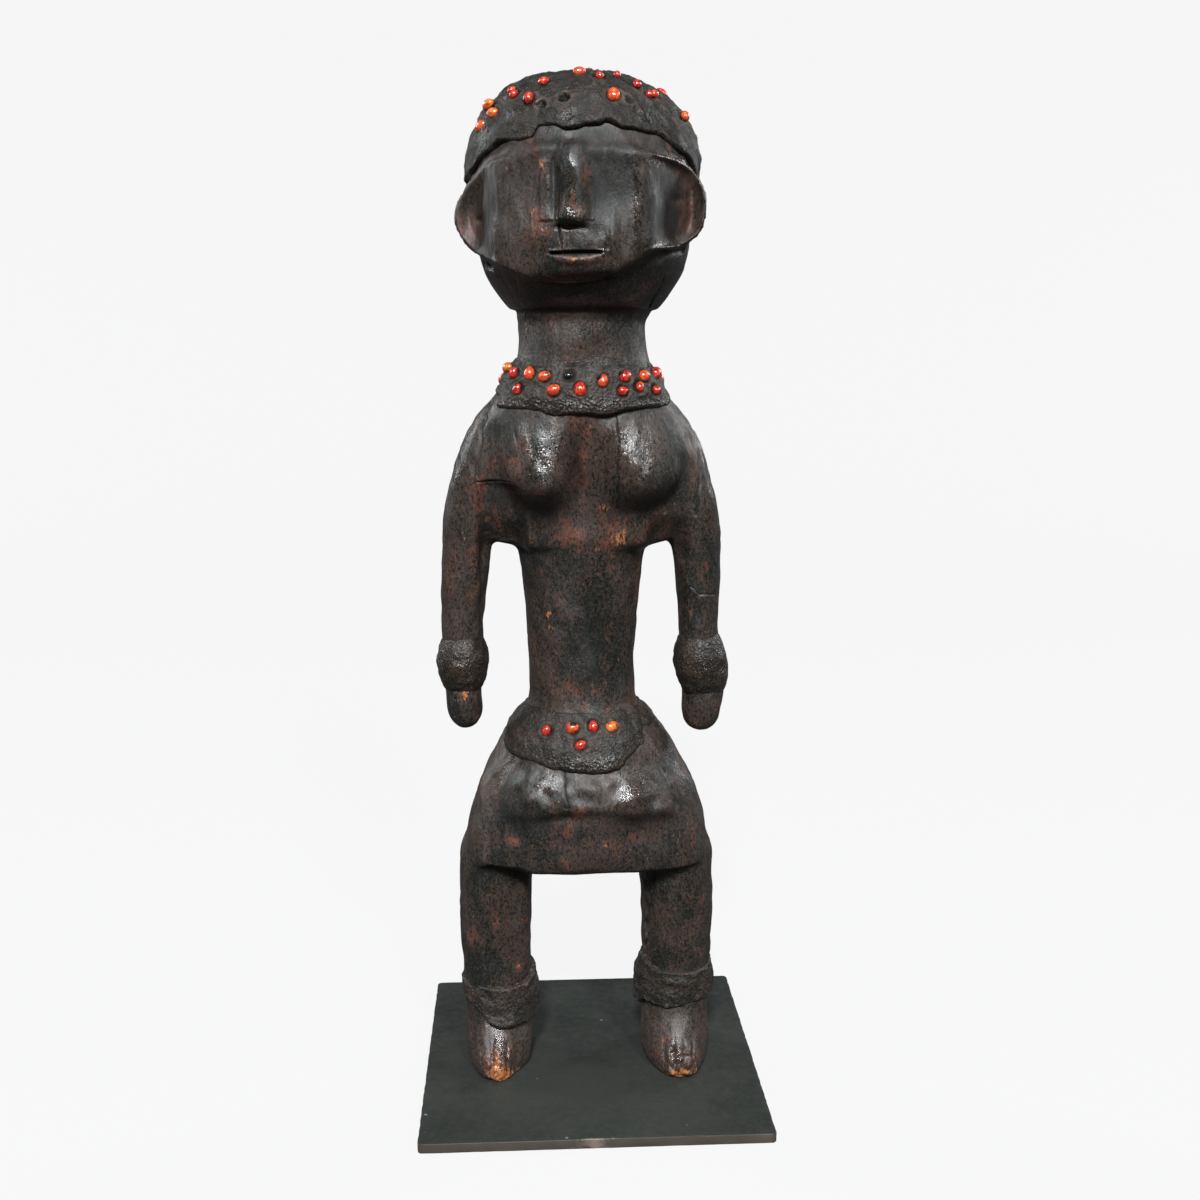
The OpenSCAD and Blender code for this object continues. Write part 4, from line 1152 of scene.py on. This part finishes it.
def seed_centres(prefix):
    """Middle, long axis and name of each seed whose node's name starts so, in drawn millimetres."""
    found = []
    for name in sorted(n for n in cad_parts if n.startswith(prefix)):
        bm = bmesh.new()
        bm.from_mesh(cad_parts[name].data)
        bmesh.ops.remove_doubles(bm, verts=bm.verts, dist=1e-6)
        left = set(bm.verts)
        while left:
            start = min(left, key=lambda v: v.index)
            island, queue = {start}, [start]
            while queue:
                for e in queue.pop().link_edges:
                    for v in e.verts:
                        if v not in island:
                            island.add(v)
                            queue.append(v)
            left -= island
            ordered = sorted(island, key=lambda v: v.index)
            points = (np.array([v.co for v in ordered]) - [0, 0, SOLE]) / UNIT
            middle = (points.max(0) + points.min(0)) / 2
            spread = np.linalg.svd(points - points.mean(0), full_matrices=False)[2][0]
            found.append((name, middle, spread))
        bm.free()
    return found


def surface_of(mesh, scale=1.0, level=0.0):
    """A search tree of a mesh, in drawn millimetres."""
    points = (mesh_arrays(mesh)[0] - [0, 0, level]) / scale
    return BVHTree.FromPolygons(points.tolist(), [tuple(f.vertices) for f in mesh.polygons])


def seed_bed(surface, middle):
    """Where a seed lies on the paste, on the line of sight to it, or else at the nearest point."""
    eye = Vector((np.array(VIEWPOINT) - [0, 0, SOLE]) / UNIT)
    target = Vector(middle)
    found = surface.ray_cast(eye, (target - eye).normalized())[0]
    if found is None or (found - target).length > SEED_DRIFT:
        found = surface.find_nearest(target)[0]
    return np.array(found)


def press_seeds(obj, seeds):
    """Hollows under the seeds, with painted shade in them."""
    painted_shade = np.zeros(len(obj.data.vertices))
    surface = surface_of(obj.data)
    for _, middle, _ in seeds:
        points, normals = mesh_arrays(obj.data)
        bed = seed_bed(surface, middle)
        near = np.argmin(np.linalg.norm(points - bed, axis=1))
        pressed, mark = dent(points, normals, points[near], 3.0, 1.2, 0.4)
        put_points(obj.data, pressed)
        painted_shade = np.maximum(painted_shade, 0.9 * mark)
    return painted_shade


def finish_paste(obj, painted_shade, shine, look, node):
    """Stores the crust, painted shade and shine of a paste piece on its points and puts it in place."""
    points, normals = mesh_arrays(obj.data)
    relief = ((points - softened(obj.data, points, 6)) * normals).sum(1)
    ragged = 0.5 + 0.5 * waves(points, 3, 95)
    add_attribute(obj.data, "crust", np.clip(0.7 * ease(relief, 0.12, 0.4) * ragged, 0, 0.8))
    add_attribute(obj.data, "painted_shade", np.clip(painted_shade + 0.8 * ease(-relief, 0.08, 0.5), 0, 1))
    add_attribute(obj.data, "shine", np.clip(shine, 0, 1.3))
    material = bpy.data.materials.get("resin_and_wax_paste") or paste_material(look)
    set_in_place(obj, material, "figure", [node])


class DOLL_OT_crown(bpy.types.Operator):
    """Mould the cap of paste on the crown"""

    bl_idname = "doll.crown"
    bl_label = "Crown cap"

    def execute(self, context):
        look = context.scene.doll_look
        lip, outer, inner = 9, 56, 14
        rise, domed = 1.4, 401.6
        thick = look.paste_thickness * 1000

        def place(turn, level):
            low = looped(CROWN_EDGE, turn) + 0.4 * np.sin(turn * 17)
            part = np.clip(level / lip, 0, 1)
            share = np.clip((level - lip) / outer, 0, 1)
            z = low + rise * (1 - np.cos(part * QUARTER))
            z = z + (DRAWN_HEIGHT - low - rise) * np.sin(share * QUARTER)
            roll = thick * (0.8 + 0.22 * np.sin(turn * 3 + 0.6) + 0.12 * np.sin(turn * 7))
            out = -PASTE_ROOT + (roll + PASTE_ROOT) * np.sin(part * QUARTER)
            out = np.where(level > lip, roll + (thick * 0.92 - roll) * ease(share, 0.02, 0.16), out)
            back = np.clip((level - lip - outer) / inner, 0, 1)
            returning = level > lip + outer
            z = np.where(returning, low + (DRAWN_HEIGHT - low) * np.cos(back * QUARTER), z)
            out = np.where(returning, -PASTE_ROOT, out)
            z = np.minimum(z, DRAWN_HEIGHT - 0.01)
            base = on_rows(HEAD_ROWS, turn, z)
            slim = np.sqrt(np.clip((DRAWN_HEIGHT - z) / 1.4, 0, 1))
            base[:, :2] *= np.where(z > domed, slim, 1)[:, None]
            direction = outward(HEAD_ROWS, turn, np.minimum(z, domed - 0.2))
            up = ease(z, 399.5, 402.8)[:, None]
            direction = direction * (1 - up) + np.array([0, 0, 1]) * up
            direction /= np.linalg.norm(direction, axis=1, keepdims=True)
            lumps = 0.2 * waves(base, 8, 101) + 0.13 * waves(base, 3, 102)
            folds = np.zeros(len(turn))
            for path in CROWN_FOLDS:
                spread = np.column_stack([np.degrees(turn), z * DEGREES_PER_MM])
                away, _ = path_distance(spread, [(a, b * DEGREES_PER_MM) for a, b in path])
                folds += 0.85 * bell(away, 0, 1.5)
            out = np.where(returning, out, out + (lumps + folds) * np.clip((out + PASTE_ROOT) / 2, 0, 1))
            return from_head(base + direction * out[:, None])

        bm = bmesh.new()
        wrap_grid(bm, 300, lip + outer + inner + 1, place)
        obj = new_object("crown_paste", bm)
        painted_shade = press_seeds(obj, seed_centres("crown_seed"))
        for x, z, radius, deep, dark in EMPTY_SOCKETS:
            points, normals = mesh_arrays(obj.data)
            pressed, mark = dent(points, normals, on_front(points, x, z), radius, deep, 0.55)
            put_points(obj.data, pressed)
            painted_shade = np.maximum(painted_shade, mark * dark)
        points, normals = mesh_arrays(obj.data)
        knob = bell(np.linalg.norm(points - on_front(points, 15.6, 383.2), axis=1), 0, 2.6)
        put_points(obj.data, points + normals * (0.9 * knob)[:, None])
        points, _ = mesh_arrays(obj.data)
        shine = 0.2 + 0.3 * waves(points, 12, 103)
        # Painted shade: at least 0.38 of it darkens the whole cap evenly, more in the seed dents and empty sockets
        finish_paste(obj, np.maximum(painted_shade, 0.38), shine, look, "crown_cap")
        return {"FINISHED"}


class DOLL_OT_collar(bpy.types.Operator):
    """Mould the collar of paste round the neck"""

    bl_idname = "doll.collar"
    bl_label = "Neck collar"

    def execute(self, context):
        look = context.scene.doll_look
        thick = look.paste_thickness * 1000
        bm = bmesh.new()

        def high(turn):
            return 298 + 0.6 * np.sin(turn * 4) + 0.4 * np.sin(turn * 9)

        def lip(turn):
            return thick * (0.36 + 0.5 * bell(np.cos(turn), 1, 0.3) + 0.1 * np.sin(turn * 6))

        thickness = lip, fixed(thick * 0.85), fixed(0.45)
        band(bm, TRUNK_ROWS, 250, table(COLLAR_EDGE), high, thickness, np.array, 1.8, 0.14, 111)
        obj = new_object("collar_paste", bm)
        painted_shade = press_seeds(obj, seed_centres("collar_seed"))
        points, normals = mesh_arrays(obj.data)
        line = 294.7 + 0.35 * waves(points, 9, 113)
        crack = bell(points[:, 2], line, 0.4) * ease(-points[:, 1], -6, 6)
        crack *= ease(waves(points, 14, 114), -1.2, 0.2)
        put_points(obj.data, points - normals * (0.7 * crack)[:, None])
        shine = 0.15 + 0.8 * bell(points[:, 2], 279.5, 3) * ease(-points[:, 1], 5, 20)
        # Painted shade in the dents under the seeds and along the crack line
        finish_paste(obj, np.maximum(painted_shade, 0.9 * crack), shine, look, "neck_collar")
        return {"FINISHED"}


class DOLL_OT_girdle(bpy.types.Operator):
    """Mould the girdle of paste round the hips"""

    bl_idname = "doll.girdle"
    bl_label = "Hip girdle"

    def execute(self, context):
        look = context.scene.doll_look
        thick = look.paste_thickness * 1000
        bm = bmesh.new()

        def bulge(turn):
            return bell(np.minimum(turn % FULL, FULL - turn % FULL), 0, 0.42)

        def lip(turn):
            return thick * (0.2 + 0.85 * bulge(turn) + 0.08 * np.sin(turn * 5))

        def middle(turn):
            return thick * (0.6 + 0.25 * bulge(turn))

        def high(turn):
            return 157.6 + 0.5 * np.sin(turn * 5)

        thickness = lip, middle, fixed(0.35)
        band(bm, TRUNK_ROWS, 260, table(GIRDLE_EDGE), high, thickness, np.array, 2.2, 0.15, 121)
        obj = new_object("girdle_paste", bm)
        painted_shade = press_seeds(obj, seed_centres("girdle_seed"))
        points, _ = mesh_arrays(obj.data)
        shine = 0.1 + spots(points[:, [0, 2]], GIRDLE_SHINE) * (points[:, 1] < 0)
        finish_paste(obj, painted_shade, shine, look, "hip_girdle")
        return {"FINISHED"}


# Lower and upper edge of each ankle's cuff
RIGHT_ANKLE = ([(0, 20.3), (50, 20.1), (90, 20), (180, 20.5), (270, 30), (300, 29), (328, 25.6), (342, 21.9)],
               [(0, 37.7), (45, 38.5), (90, 40.5), (180, 42), (270, 41), (315, 38)])
LEFT_ANKLE = ([(0, 27), (20, 28.2), (60, 28.8), (90, 28), (180, 21), (270, 22), (300, 26.7), (340, 26)],
              [(0, 42.8), (60, 43), (90, 43.5), (180, 42), (270, 46), (320, 43)])


class DOLL_OT_cuffs(bpy.types.Operator):
    """Mould the four cuffs of paste on the wrists and ankles"""

    bl_idname = "doll.cuffs"
    bl_label = "Cuffs"

    def execute(self, context):
        look = context.scene.doll_look
        for side, name in ((1, "left"), (-1, "right")):

            def on_arm(p, side=side):
                return hand_shift(side)(np.column_stack([TRUNK_X + side * p[:, 0], p[:, 1], p[:, 2]]))

            def swell(turn):
                return 2.75 + 0.3 * np.sin(turn * 2 + 1)

            bm = bmesh.new()
            band(bm, ARM_ROWS, 90, fixed(163.5), fixed(185.5), [swell] * 3, on_arm, 2, 0.15, 130 + side, True)
            obj = new_object(name + "_wrist_paste", bm)
            points, _ = mesh_arrays(obj.data)
            shine = 0.3 + 0.7 * bell(points[:, 2], 172, 5) * (points[:, 1] < -5)
            finish_paste(obj, np.zeros(len(points)), shine, look, name + "_wrist_cuff")

            def on_leg(p, side=side):
                return np.column_stack([LEGS_X + side * LEG_OUT + p[:, 0], p[:, 1], p[:, 2]])

            def flank(turn, side=side):
                if side < 0:
                    return 1.1 + 1.5 * np.abs(np.sin(turn)) ** 2
                return 1.0 + 1.2 * np.sin(turn) ** 2 + 3.0 * bell(turn % FULL, 4.15, 0.5)

            def crest(turn):
                return 1.1 + 0.2 * np.sin(turn * 3)

            bm = bmesh.new()
            low, high = LEFT_ANKLE if side > 0 else RIGHT_ANKLE
            thickness = flank, flank, crest
            band(bm, LEG_ROWS, 120, table(low), table(high), thickness, on_leg, 1.6, 0.2, 140 + side)
            obj = new_object(name + "_ankle_paste", bm)
            points, _ = mesh_arrays(obj.data)
            finish_paste(obj, np.zeros(len(points)), np.full(len(points), 0.1), look, name + "_ankle_cuff")
        return {"FINISHED"}


# ---- Seeds: tint from 0 red to 1 amber, size, and which way the black eye looks as [x, z] ----
# The cap's seeds look away from one point in the head; each seed's middle is a little above the paste
CROWN_FOCUS = np.array([-2, 0, 366])
SEED_RISE = 0.35
BLACK = "black"
SEED_LOOKS = {
    "girdle_seed_1": (0.1, 0.8, None), "girdle_seed_2": (0.6, 1.0, (0.3, 1)),
    "girdle_seed_3": (0.1, 0.84, None), "girdle_seed_4": (0.85, 0.98, None),
    "girdle_seed_5": (0.2, 0.84, None), "collar_seed_1": (0.8, 0.95, None),
    "collar_seed_2": (0.05, 0.8, None), "collar_seed_3": (0.55, 0.95, None),
    "collar_seed_4": (0.6, 0.92, None), "collar_seed_5": (0.45, 0.98, None),
    "collar_seed_6": (0.0, 0.8, (1, 0)), "collar_seed_7": (0.0, 0.62, BLACK),
    "collar_seed_8": (0.15, 1.05, None), "collar_seed_9": (0.55, 0.9, (-1, 0.6)),
    "collar_seed_10": (0.05, 0.95, (-0.9, 0.45)), "collar_seed_11": (0.0, 0.8, (1, -0.7)),
    "collar_seed_12": (0.05, 0.72, None), "collar_seed_13": (0.55, 1.0, (0.6, -0.9)),
    "collar_seed_14": (0.05, 0.75, (1, 0)), "collar_seed_15": (0.1, 1.0, None),
    "crown_seed_1": (0.35, 0.86, None), "crown_seed_2": (0.05, 0.74, None),
    "crown_seed_3": (0.0, 0.86, (-1, -0.8)), "crown_seed_4": (0.05, 0.66, (0.6, -1)),
    "crown_seed_5": (0.05, 0.62, None), "crown_seed_6": (0.75, 0.92, None),
    "crown_seed_7": (0.9, 0.9, (0.8, -0.8)), "crown_seed_8": (0.6, 0.94, (0.5, -1)),
    "crown_seed_9": (0.4, 1.05, None), "crown_seed_10": (0.1, 0.66, None),
    "crown_seed_11": (0.05, 0.6, None), "crown_seed_12": (0.3, 0.6, None),
    "crown_seed_13": (0.05, 0.7, None), "crown_seed_14": (0.0, 0.66, (1, 1)),
    "crown_seed_15": (0.3, 0.7, None), "crown_seed_16": (0.6, 0.8, None),
}


# Half width, half height and half length of a seed
PEA = (2.35, 2.25, 2.95)


def pea(bm, layers, middle, along, out, size, tint, eye_way):
    """One ovoid seed, a little flattened against the paste."""
    made = bmesh.ops.create_uvsphere(bm, u_segments=22, v_segments=14, radius=1)["verts"]
    along = along - out * np.dot(along, out)
    along /= np.linalg.norm(along)
    across = np.cross(out, along)
    eye = -out if eye_way in (None, BLACK) else np.array([eye_way[0], 0, eye_way[1]]) + 0.35 * out
    eye = eye / np.linalg.norm(eye)
    for v in made:
        p = np.array(v.co)
        taper = 1 - 0.1 * p[2]
        spot = across * p[0] * PEA[0] * taper + out * p[1] * PEA[1] * taper + along * p[2] * PEA[2]
        v[layers["tint"]] = tint
        v[layers["eye"]] = 1.0 if eye_way == BLACK else float(np.dot(spot / np.linalg.norm(spot), eye)) * 0.75
        v[layers["sunk"]] = float(-np.dot(spot, out) / 2.3)
        v.co = middle + size * spot


class DOLL_OT_seeds(bpy.types.Operator):
    """Press the red and orange seeds into the paste"""

    bl_idname = "doll.seeds"
    bl_label = "Seeds"

    def execute(self, context):
        look = context.scene.doll_look
        material = seed_material(look)
        draw = np.random.default_rng(7)
        for place in ("girdle", "collar", "crown"):
            surface = surface_of(bpy.data.objects[place + "_paste"].data, UNIT, SOLE)
            grouped = {}
            for name, middle, along in seed_centres(place + "_seed"):
                grouped.setdefault(name, []).append((middle, along))
            for name, members in sorted(grouped.items()):
                bm = bmesh.new()
                layers = {key: bm.verts.layers.float.new(key) for key in ("tint", "eye", "sunk")}
                for middle, along in members:
                    plain = draw.uniform(0, 0.8), draw.uniform(0.65, 1.0), None
                    tint, size, way = SEED_LOOKS.get(name, plain)
                    focus = CROWN_FOCUS if place == "crown" else np.array([TRUNK_X, 0, middle[2] - 6])
                    outer = (middle - focus) / np.linalg.norm(middle - focus)
                    ground = seed_bed(surface, middle) + outer * SEED_RISE
                    pea(bm, layers, ground, along, outer, size, tint, way)
                obj = new_object(name.replace("seeds", "peas").replace("seed", "pea"), bm)
                set_in_place(obj, material, "figure", [name])
        return {"FINISHED"}


# ---- Stand ----
CORNER_ROUND = 0.002
PLATE_CELLS = 56


class DOLL_OT_plate(bpy.types.Operator):
    """Cut the painted steel plate and finish its pins"""

    bl_idname = "doll.plate"
    bl_label = "Base plate"

    def execute(self, context):
        look = context.scene.doll_look
        low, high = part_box("base_plate")
        size, middle = high - low, (high + low) / 2
        bm = bmesh.new()
        made = bmesh.ops.create_cube(bm, size=1)["verts"]
        bmesh.ops.scale(bm, verts=made, vec=size)
        bmesh.ops.translate(bm, verts=made, vec=middle)
        upright = [e for e in bm.edges if abs(e.verts[0].co.z - e.verts[1].co.z) > size.z / 2]
        soft = {"offset_type": "OFFSET", "profile": 0.5, "affect": "EDGES", "material": -1}
        bmesh.ops.bevel(bm, geom=upright, offset=CORNER_ROUND, segments=6, **soft)
        shared = [e for e in bm.edges if len(e.link_faces) == 2]
        rims = [e for e in shared if abs(e.link_faces[0].normal.z - e.link_faces[1].normal.z) > 0.5]
        bmesh.ops.bevel(bm, geom=rims, offset=look.plate_edge_round, segments=3, **soft)
        for axis in (0, 1):
            for k in range(1, PLATE_CELLS):
                point, normal = Vector(middle), Vector((0, 0, 0))
                point[axis] = low[axis] + size[axis] * k / PLATE_CELLS
                normal[axis] = 1
                geometry = bm.verts[:] + bm.edges[:] + bm.faces[:]
                bmesh.ops.bisect_plane(bm, geom=geometry, plane_co=point, plane_no=normal, dist=1e-7)
        obj = new_object("steel_plate", bm)
        points, normals = mesh_arrays(obj.data)
        inside = np.minimum(high.z - points[:, 2], points[:, 2] - low.z)
        edge = np.maximum(np.abs(points[:, 0]) - size.x / 2, np.abs(points[:, 1]) - size.y / 2)
        chip = waves(points * 1000, 5, 151) + waves(points * 1000, 2, 152)
        chip *= 0.00012 * ease(edge, -0.0012, 0)
        put_points(obj.data, points - normals * [1, 1, 0] * np.abs(chip)[:, None])
        add_attribute(obj.data, "side", 1 - ease(np.abs(normals[:, 2]), 0.35, 0.75))
        ring = ease(edge, -0.0014, -0.0002) * ease(-inside, -0.0014, -0.0001)
        front = bell(points[:, 0], 0, 0.012) * (points[:, 1] < 0)
        add_attribute(obj.data, "worn", ring * (0.75 + 0.8 * front))
        obj.data.shade_smooth()
        obj.data.materials.append(plate_material(look))
        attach(obj, "stand")
        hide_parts("base_plate")
        steel = pin_material()
        for node in ("left_mount_pin", "right_mount_pin"):
            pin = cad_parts[node]
            for slot in pin.material_slots:
                slot.material = steel
        return {"FINISHED"}


# ---- Studio ----
# Lamps: name, place, height aimed at, width, height, share of the main light's power
LAMPS = (
    ("key", (-0.3, -2.42, 2.25), 0.24, 0.3, 0.5, 1),
    ("second", (0.8, -2.4, 2.1), 0.22, 0.22, 0.7, 0.3),
    ("side_left", (-2.7, -0.8, 1.7), 0.22, 0.3, 1.6, 0.1),
    ("side_right", (2.7, -0.8, 1.7), 0.22, 0.3, 1.6, 0.12),
    ("rim_left", (-2.3, 1.5, 1.4), 0.22, 0.4, 1.4, 0.22),
    ("rim_right", (2.3, 1.5, 1.4), 0.22, 0.4, 1.4, 0.22),
    ("top", (0.1, -0.2, 3.3), 0.2, 0.9, 0.9, 0.08),
)
LAMP_COLOUR = (0.94, 0.98, 1.0)


class DOLL_OT_studio(bpy.types.Operator):
    """Set the pale floor, the soft lights and the camera"""

    bl_idname = "doll.studio"
    bl_label = "Studio"

    def execute(self, context):
        look = context.scene.doll_look
        scene = context.scene
        bm = bmesh.new()
        bend = [(1.2 + 0.8 * math.sin(a), 0.8 - 0.8 * math.cos(a)) for a in np.linspace(0, QUARTER, 16)]
        profile = [(-3, 0), *bend, (2.0, 4.0)]
        verts = [bm.verts.new((-4, y, z)) for y, z in profile]
        edges = [bm.edges.new(pair) for pair in zip(verts[:-1], verts[1:])]
        made = bmesh.ops.extrude_edge_only(bm, edges=edges)["geom"]
        moved = [g for g in made if isinstance(g, bmesh.types.BMVert)]
        bmesh.ops.translate(bm, verts=moved, vec=(8, 0, 0))
        sweep = new_object("paper_sweep", bm)
        sweep.data.shade_smooth()
        paper = Recipe("pale_paper")
        glow = paper.node("ShaderNodeEmission")
        glow.inputs["Color"].default_value = (*look.paper, 1)
        glow.inputs["Strength"].default_value = look.paper_glow
        paper.set(Base_Color=(0.03, 0.03, 0.03, 1), Roughness=1.0, Specular_IOR_Level=0.0)
        both = paper.node("ShaderNodeAddShader")
        paper.join(paper.shader.outputs[0], both.inputs[0])
        paper.join(glow.outputs[0], both.inputs[1])
        paper.join(both.outputs[0], paper.out.inputs[0])
        sweep.data.materials.append(paper.material)
        sweep.visible_diffuse = sweep.visible_glossy = False

        world = bpy.data.worlds.new("studio_air")
        world.use_nodes = True
        world.node_tree.nodes["Background"].inputs[0].default_value = (1, 1, 1, 1)
        world.node_tree.nodes["Background"].inputs[1].default_value = look.room_light
        scene.world = world
        for name, at, aim, wide, tall, share in LAMPS:
            lamp = bpy.data.lights.new(name, "AREA")
            lamp.shape, lamp.size, lamp.size_y, lamp.energy = "RECTANGLE", wide, tall, look.key_light * share
            lamp.color = LAMP_COLOUR
            obj = bpy.data.objects.new(name, lamp)
            obj.location = at
            obj.rotation_euler = (Vector((0, 0, aim)) - Vector(at)).to_track_quat("-Z", "Y").to_euler()
            scene.collection.objects.link(obj)
        camera = bpy.data.cameras.new("camera")
        camera.lens, camera.sensor_width, camera.clip_start = 42, 36, 0.01
        view = bpy.data.objects.new("camera", camera)
        view.location = VIEWPOINT
        view.rotation_euler = Euler((math.radians(90 - LOOK_DOWN), 0, -math.radians(LOOK_ASIDE)))
        scene.collection.objects.link(view)
        scene.camera = view
        scene.view_settings.view_transform = "Standard"
        return {"FINISHED"}


def colour_property(name, description, default):
    """A colour in the panel, as linear values from 0 to 1."""
    kind = {"subtype": "COLOR", "min": 0, "max": 1}
    return FloatVectorProperty(name=name, description=description, default=default, **kind)


def length_property(name, description, default, low, high):
    """A length in the panel, in metres."""
    kind = {"unit": "LENGTH", "precision": 4}
    return FloatProperty(name=name, description=description, default=default, min=low, max=high, **kind)


def light_property(name, description, default, high, **kind):
    """A strength of light in the panel."""
    return FloatProperty(name=name, description=description, default=default, min=0, max=high, **kind)


class DollLook(bpy.types.PropertyGroup):
    """Sizes, colours and light of the doll"""

    wood_detail: length_property("Carving detail", "Size of the carved surface's faces", 0.0012, 0.001, 0.004)
    tool_marks: length_property("Tool marks", "Depth of the marks left by the carver's tools", 0.0005, 0, 0.002)
    paste_thickness: length_property("Paste thickness", "Thickness of the moulded paste", 0.0027, 0.001, 0.004)
    plate_edge_round: length_property("Plate edge", "Rounding of the plate's edges", 0.0004, 0.0001, 0.0015)
    wood_dark: colour_property("Dark wood", "Blackened patina", (0.008, 0.0095, 0.008))
    wood_brown: colour_property("Brown wood", "Rubbed brown patina", (0.036, 0.0245, 0.0195))
    wood_red: colour_property("Reddish wood", "Reddened bare patches", (0.105, 0.038, 0.024))
    wood_raw: colour_property("Raw wood", "Freshly worn wood", (0.32, 0.12, 0.038))
    paste_dark: colour_property("Dark paste", "Hollows of the paste", (0.0095, 0.0095, 0.0073))
    paste_brown: colour_property("Brown paste", "Face of the paste", (0.036, 0.025, 0.019))
    paste_red: colour_property("Reddish paste", "Rubbed patches of the paste", (0.066, 0.032, 0.02))
    seed_red: colour_property("Red seed", "Red end of the seeds' range", (0.36, 0.01, 0.007))
    seed_orange: colour_property("Orange seed", "Middle of the seeds' range", (0.48, 0.06, 0.012))
    seed_amber: colour_property("Amber seed", "Amber end of the seeds' range", (0.58, 0.17, 0.026))
    plate_dark: colour_property("Plate", "Paint on the plate", (0.0118, 0.0138, 0.0118))
    plate_light: colour_property("Plate haze", "Paler haze on the plate", (0.024, 0.0258, 0.0225))
    plate_edge: colour_property("Plate edge", "Edge of the plate", (0.05, 0.04, 0.034))
    paper: colour_property("Paper", "Colour of the floor and backdrop", (0.913, 0.913, 0.913))
    paper_glow: light_property("Paper glow", "Evenness of the floor and backdrop", 0.96, 2)
    room_light: light_property("Room light", "Strength of the light all round", 0.12, 5)
    key_light: light_property("Main light", "Power of the main light", 172.0, 500, unit="POWER")


class DOLL_PT_panel(bpy.types.Panel):
    """Lists the pieces, sizes and colours"""

    bl_idname = "DOLL_PT_panel"
    bl_label = "Carved doll"
    bl_space_type = "VIEW_3D"
    bl_region_type = "UI"
    bl_category = "Carved doll"

    def draw(self, context):
        for key in DollLook.__annotations__:
            self.layout.prop(context.scene.doll_look, key)
        for operator in OPERATORS:
            self.layout.operator(operator.bl_idname)


OPERATORS = (DOLL_OT_wood, DOLL_OT_crown, DOLL_OT_collar, DOLL_OT_girdle, DOLL_OT_cuffs, DOLL_OT_seeds, DOLL_OT_plate,
             DOLL_OT_studio)
CLASSES = (DollLook, *OPERATORS, DOLL_PT_panel)


def register():
    """Adds the classes and the settings."""
    for cls in CLASSES:
        bpy.utils.register_class(cls)
    bpy.types.Scene.doll_look = PointerProperty(type=DollLook)


def unregister():
    """Removes the settings and the classes."""
    del bpy.types.Scene.doll_look
    for cls in reversed(CLASSES):
        bpy.utils.unregister_class(cls)


def main():
    """Builds every piece in order, then the room round them."""
    register()
    for name in ("wood", "crown", "collar", "girdle", "cuffs", "seeds", "plate", "studio"):
        getattr(bpy.ops.doll, name)()


if __name__ == "__main__":
    main()
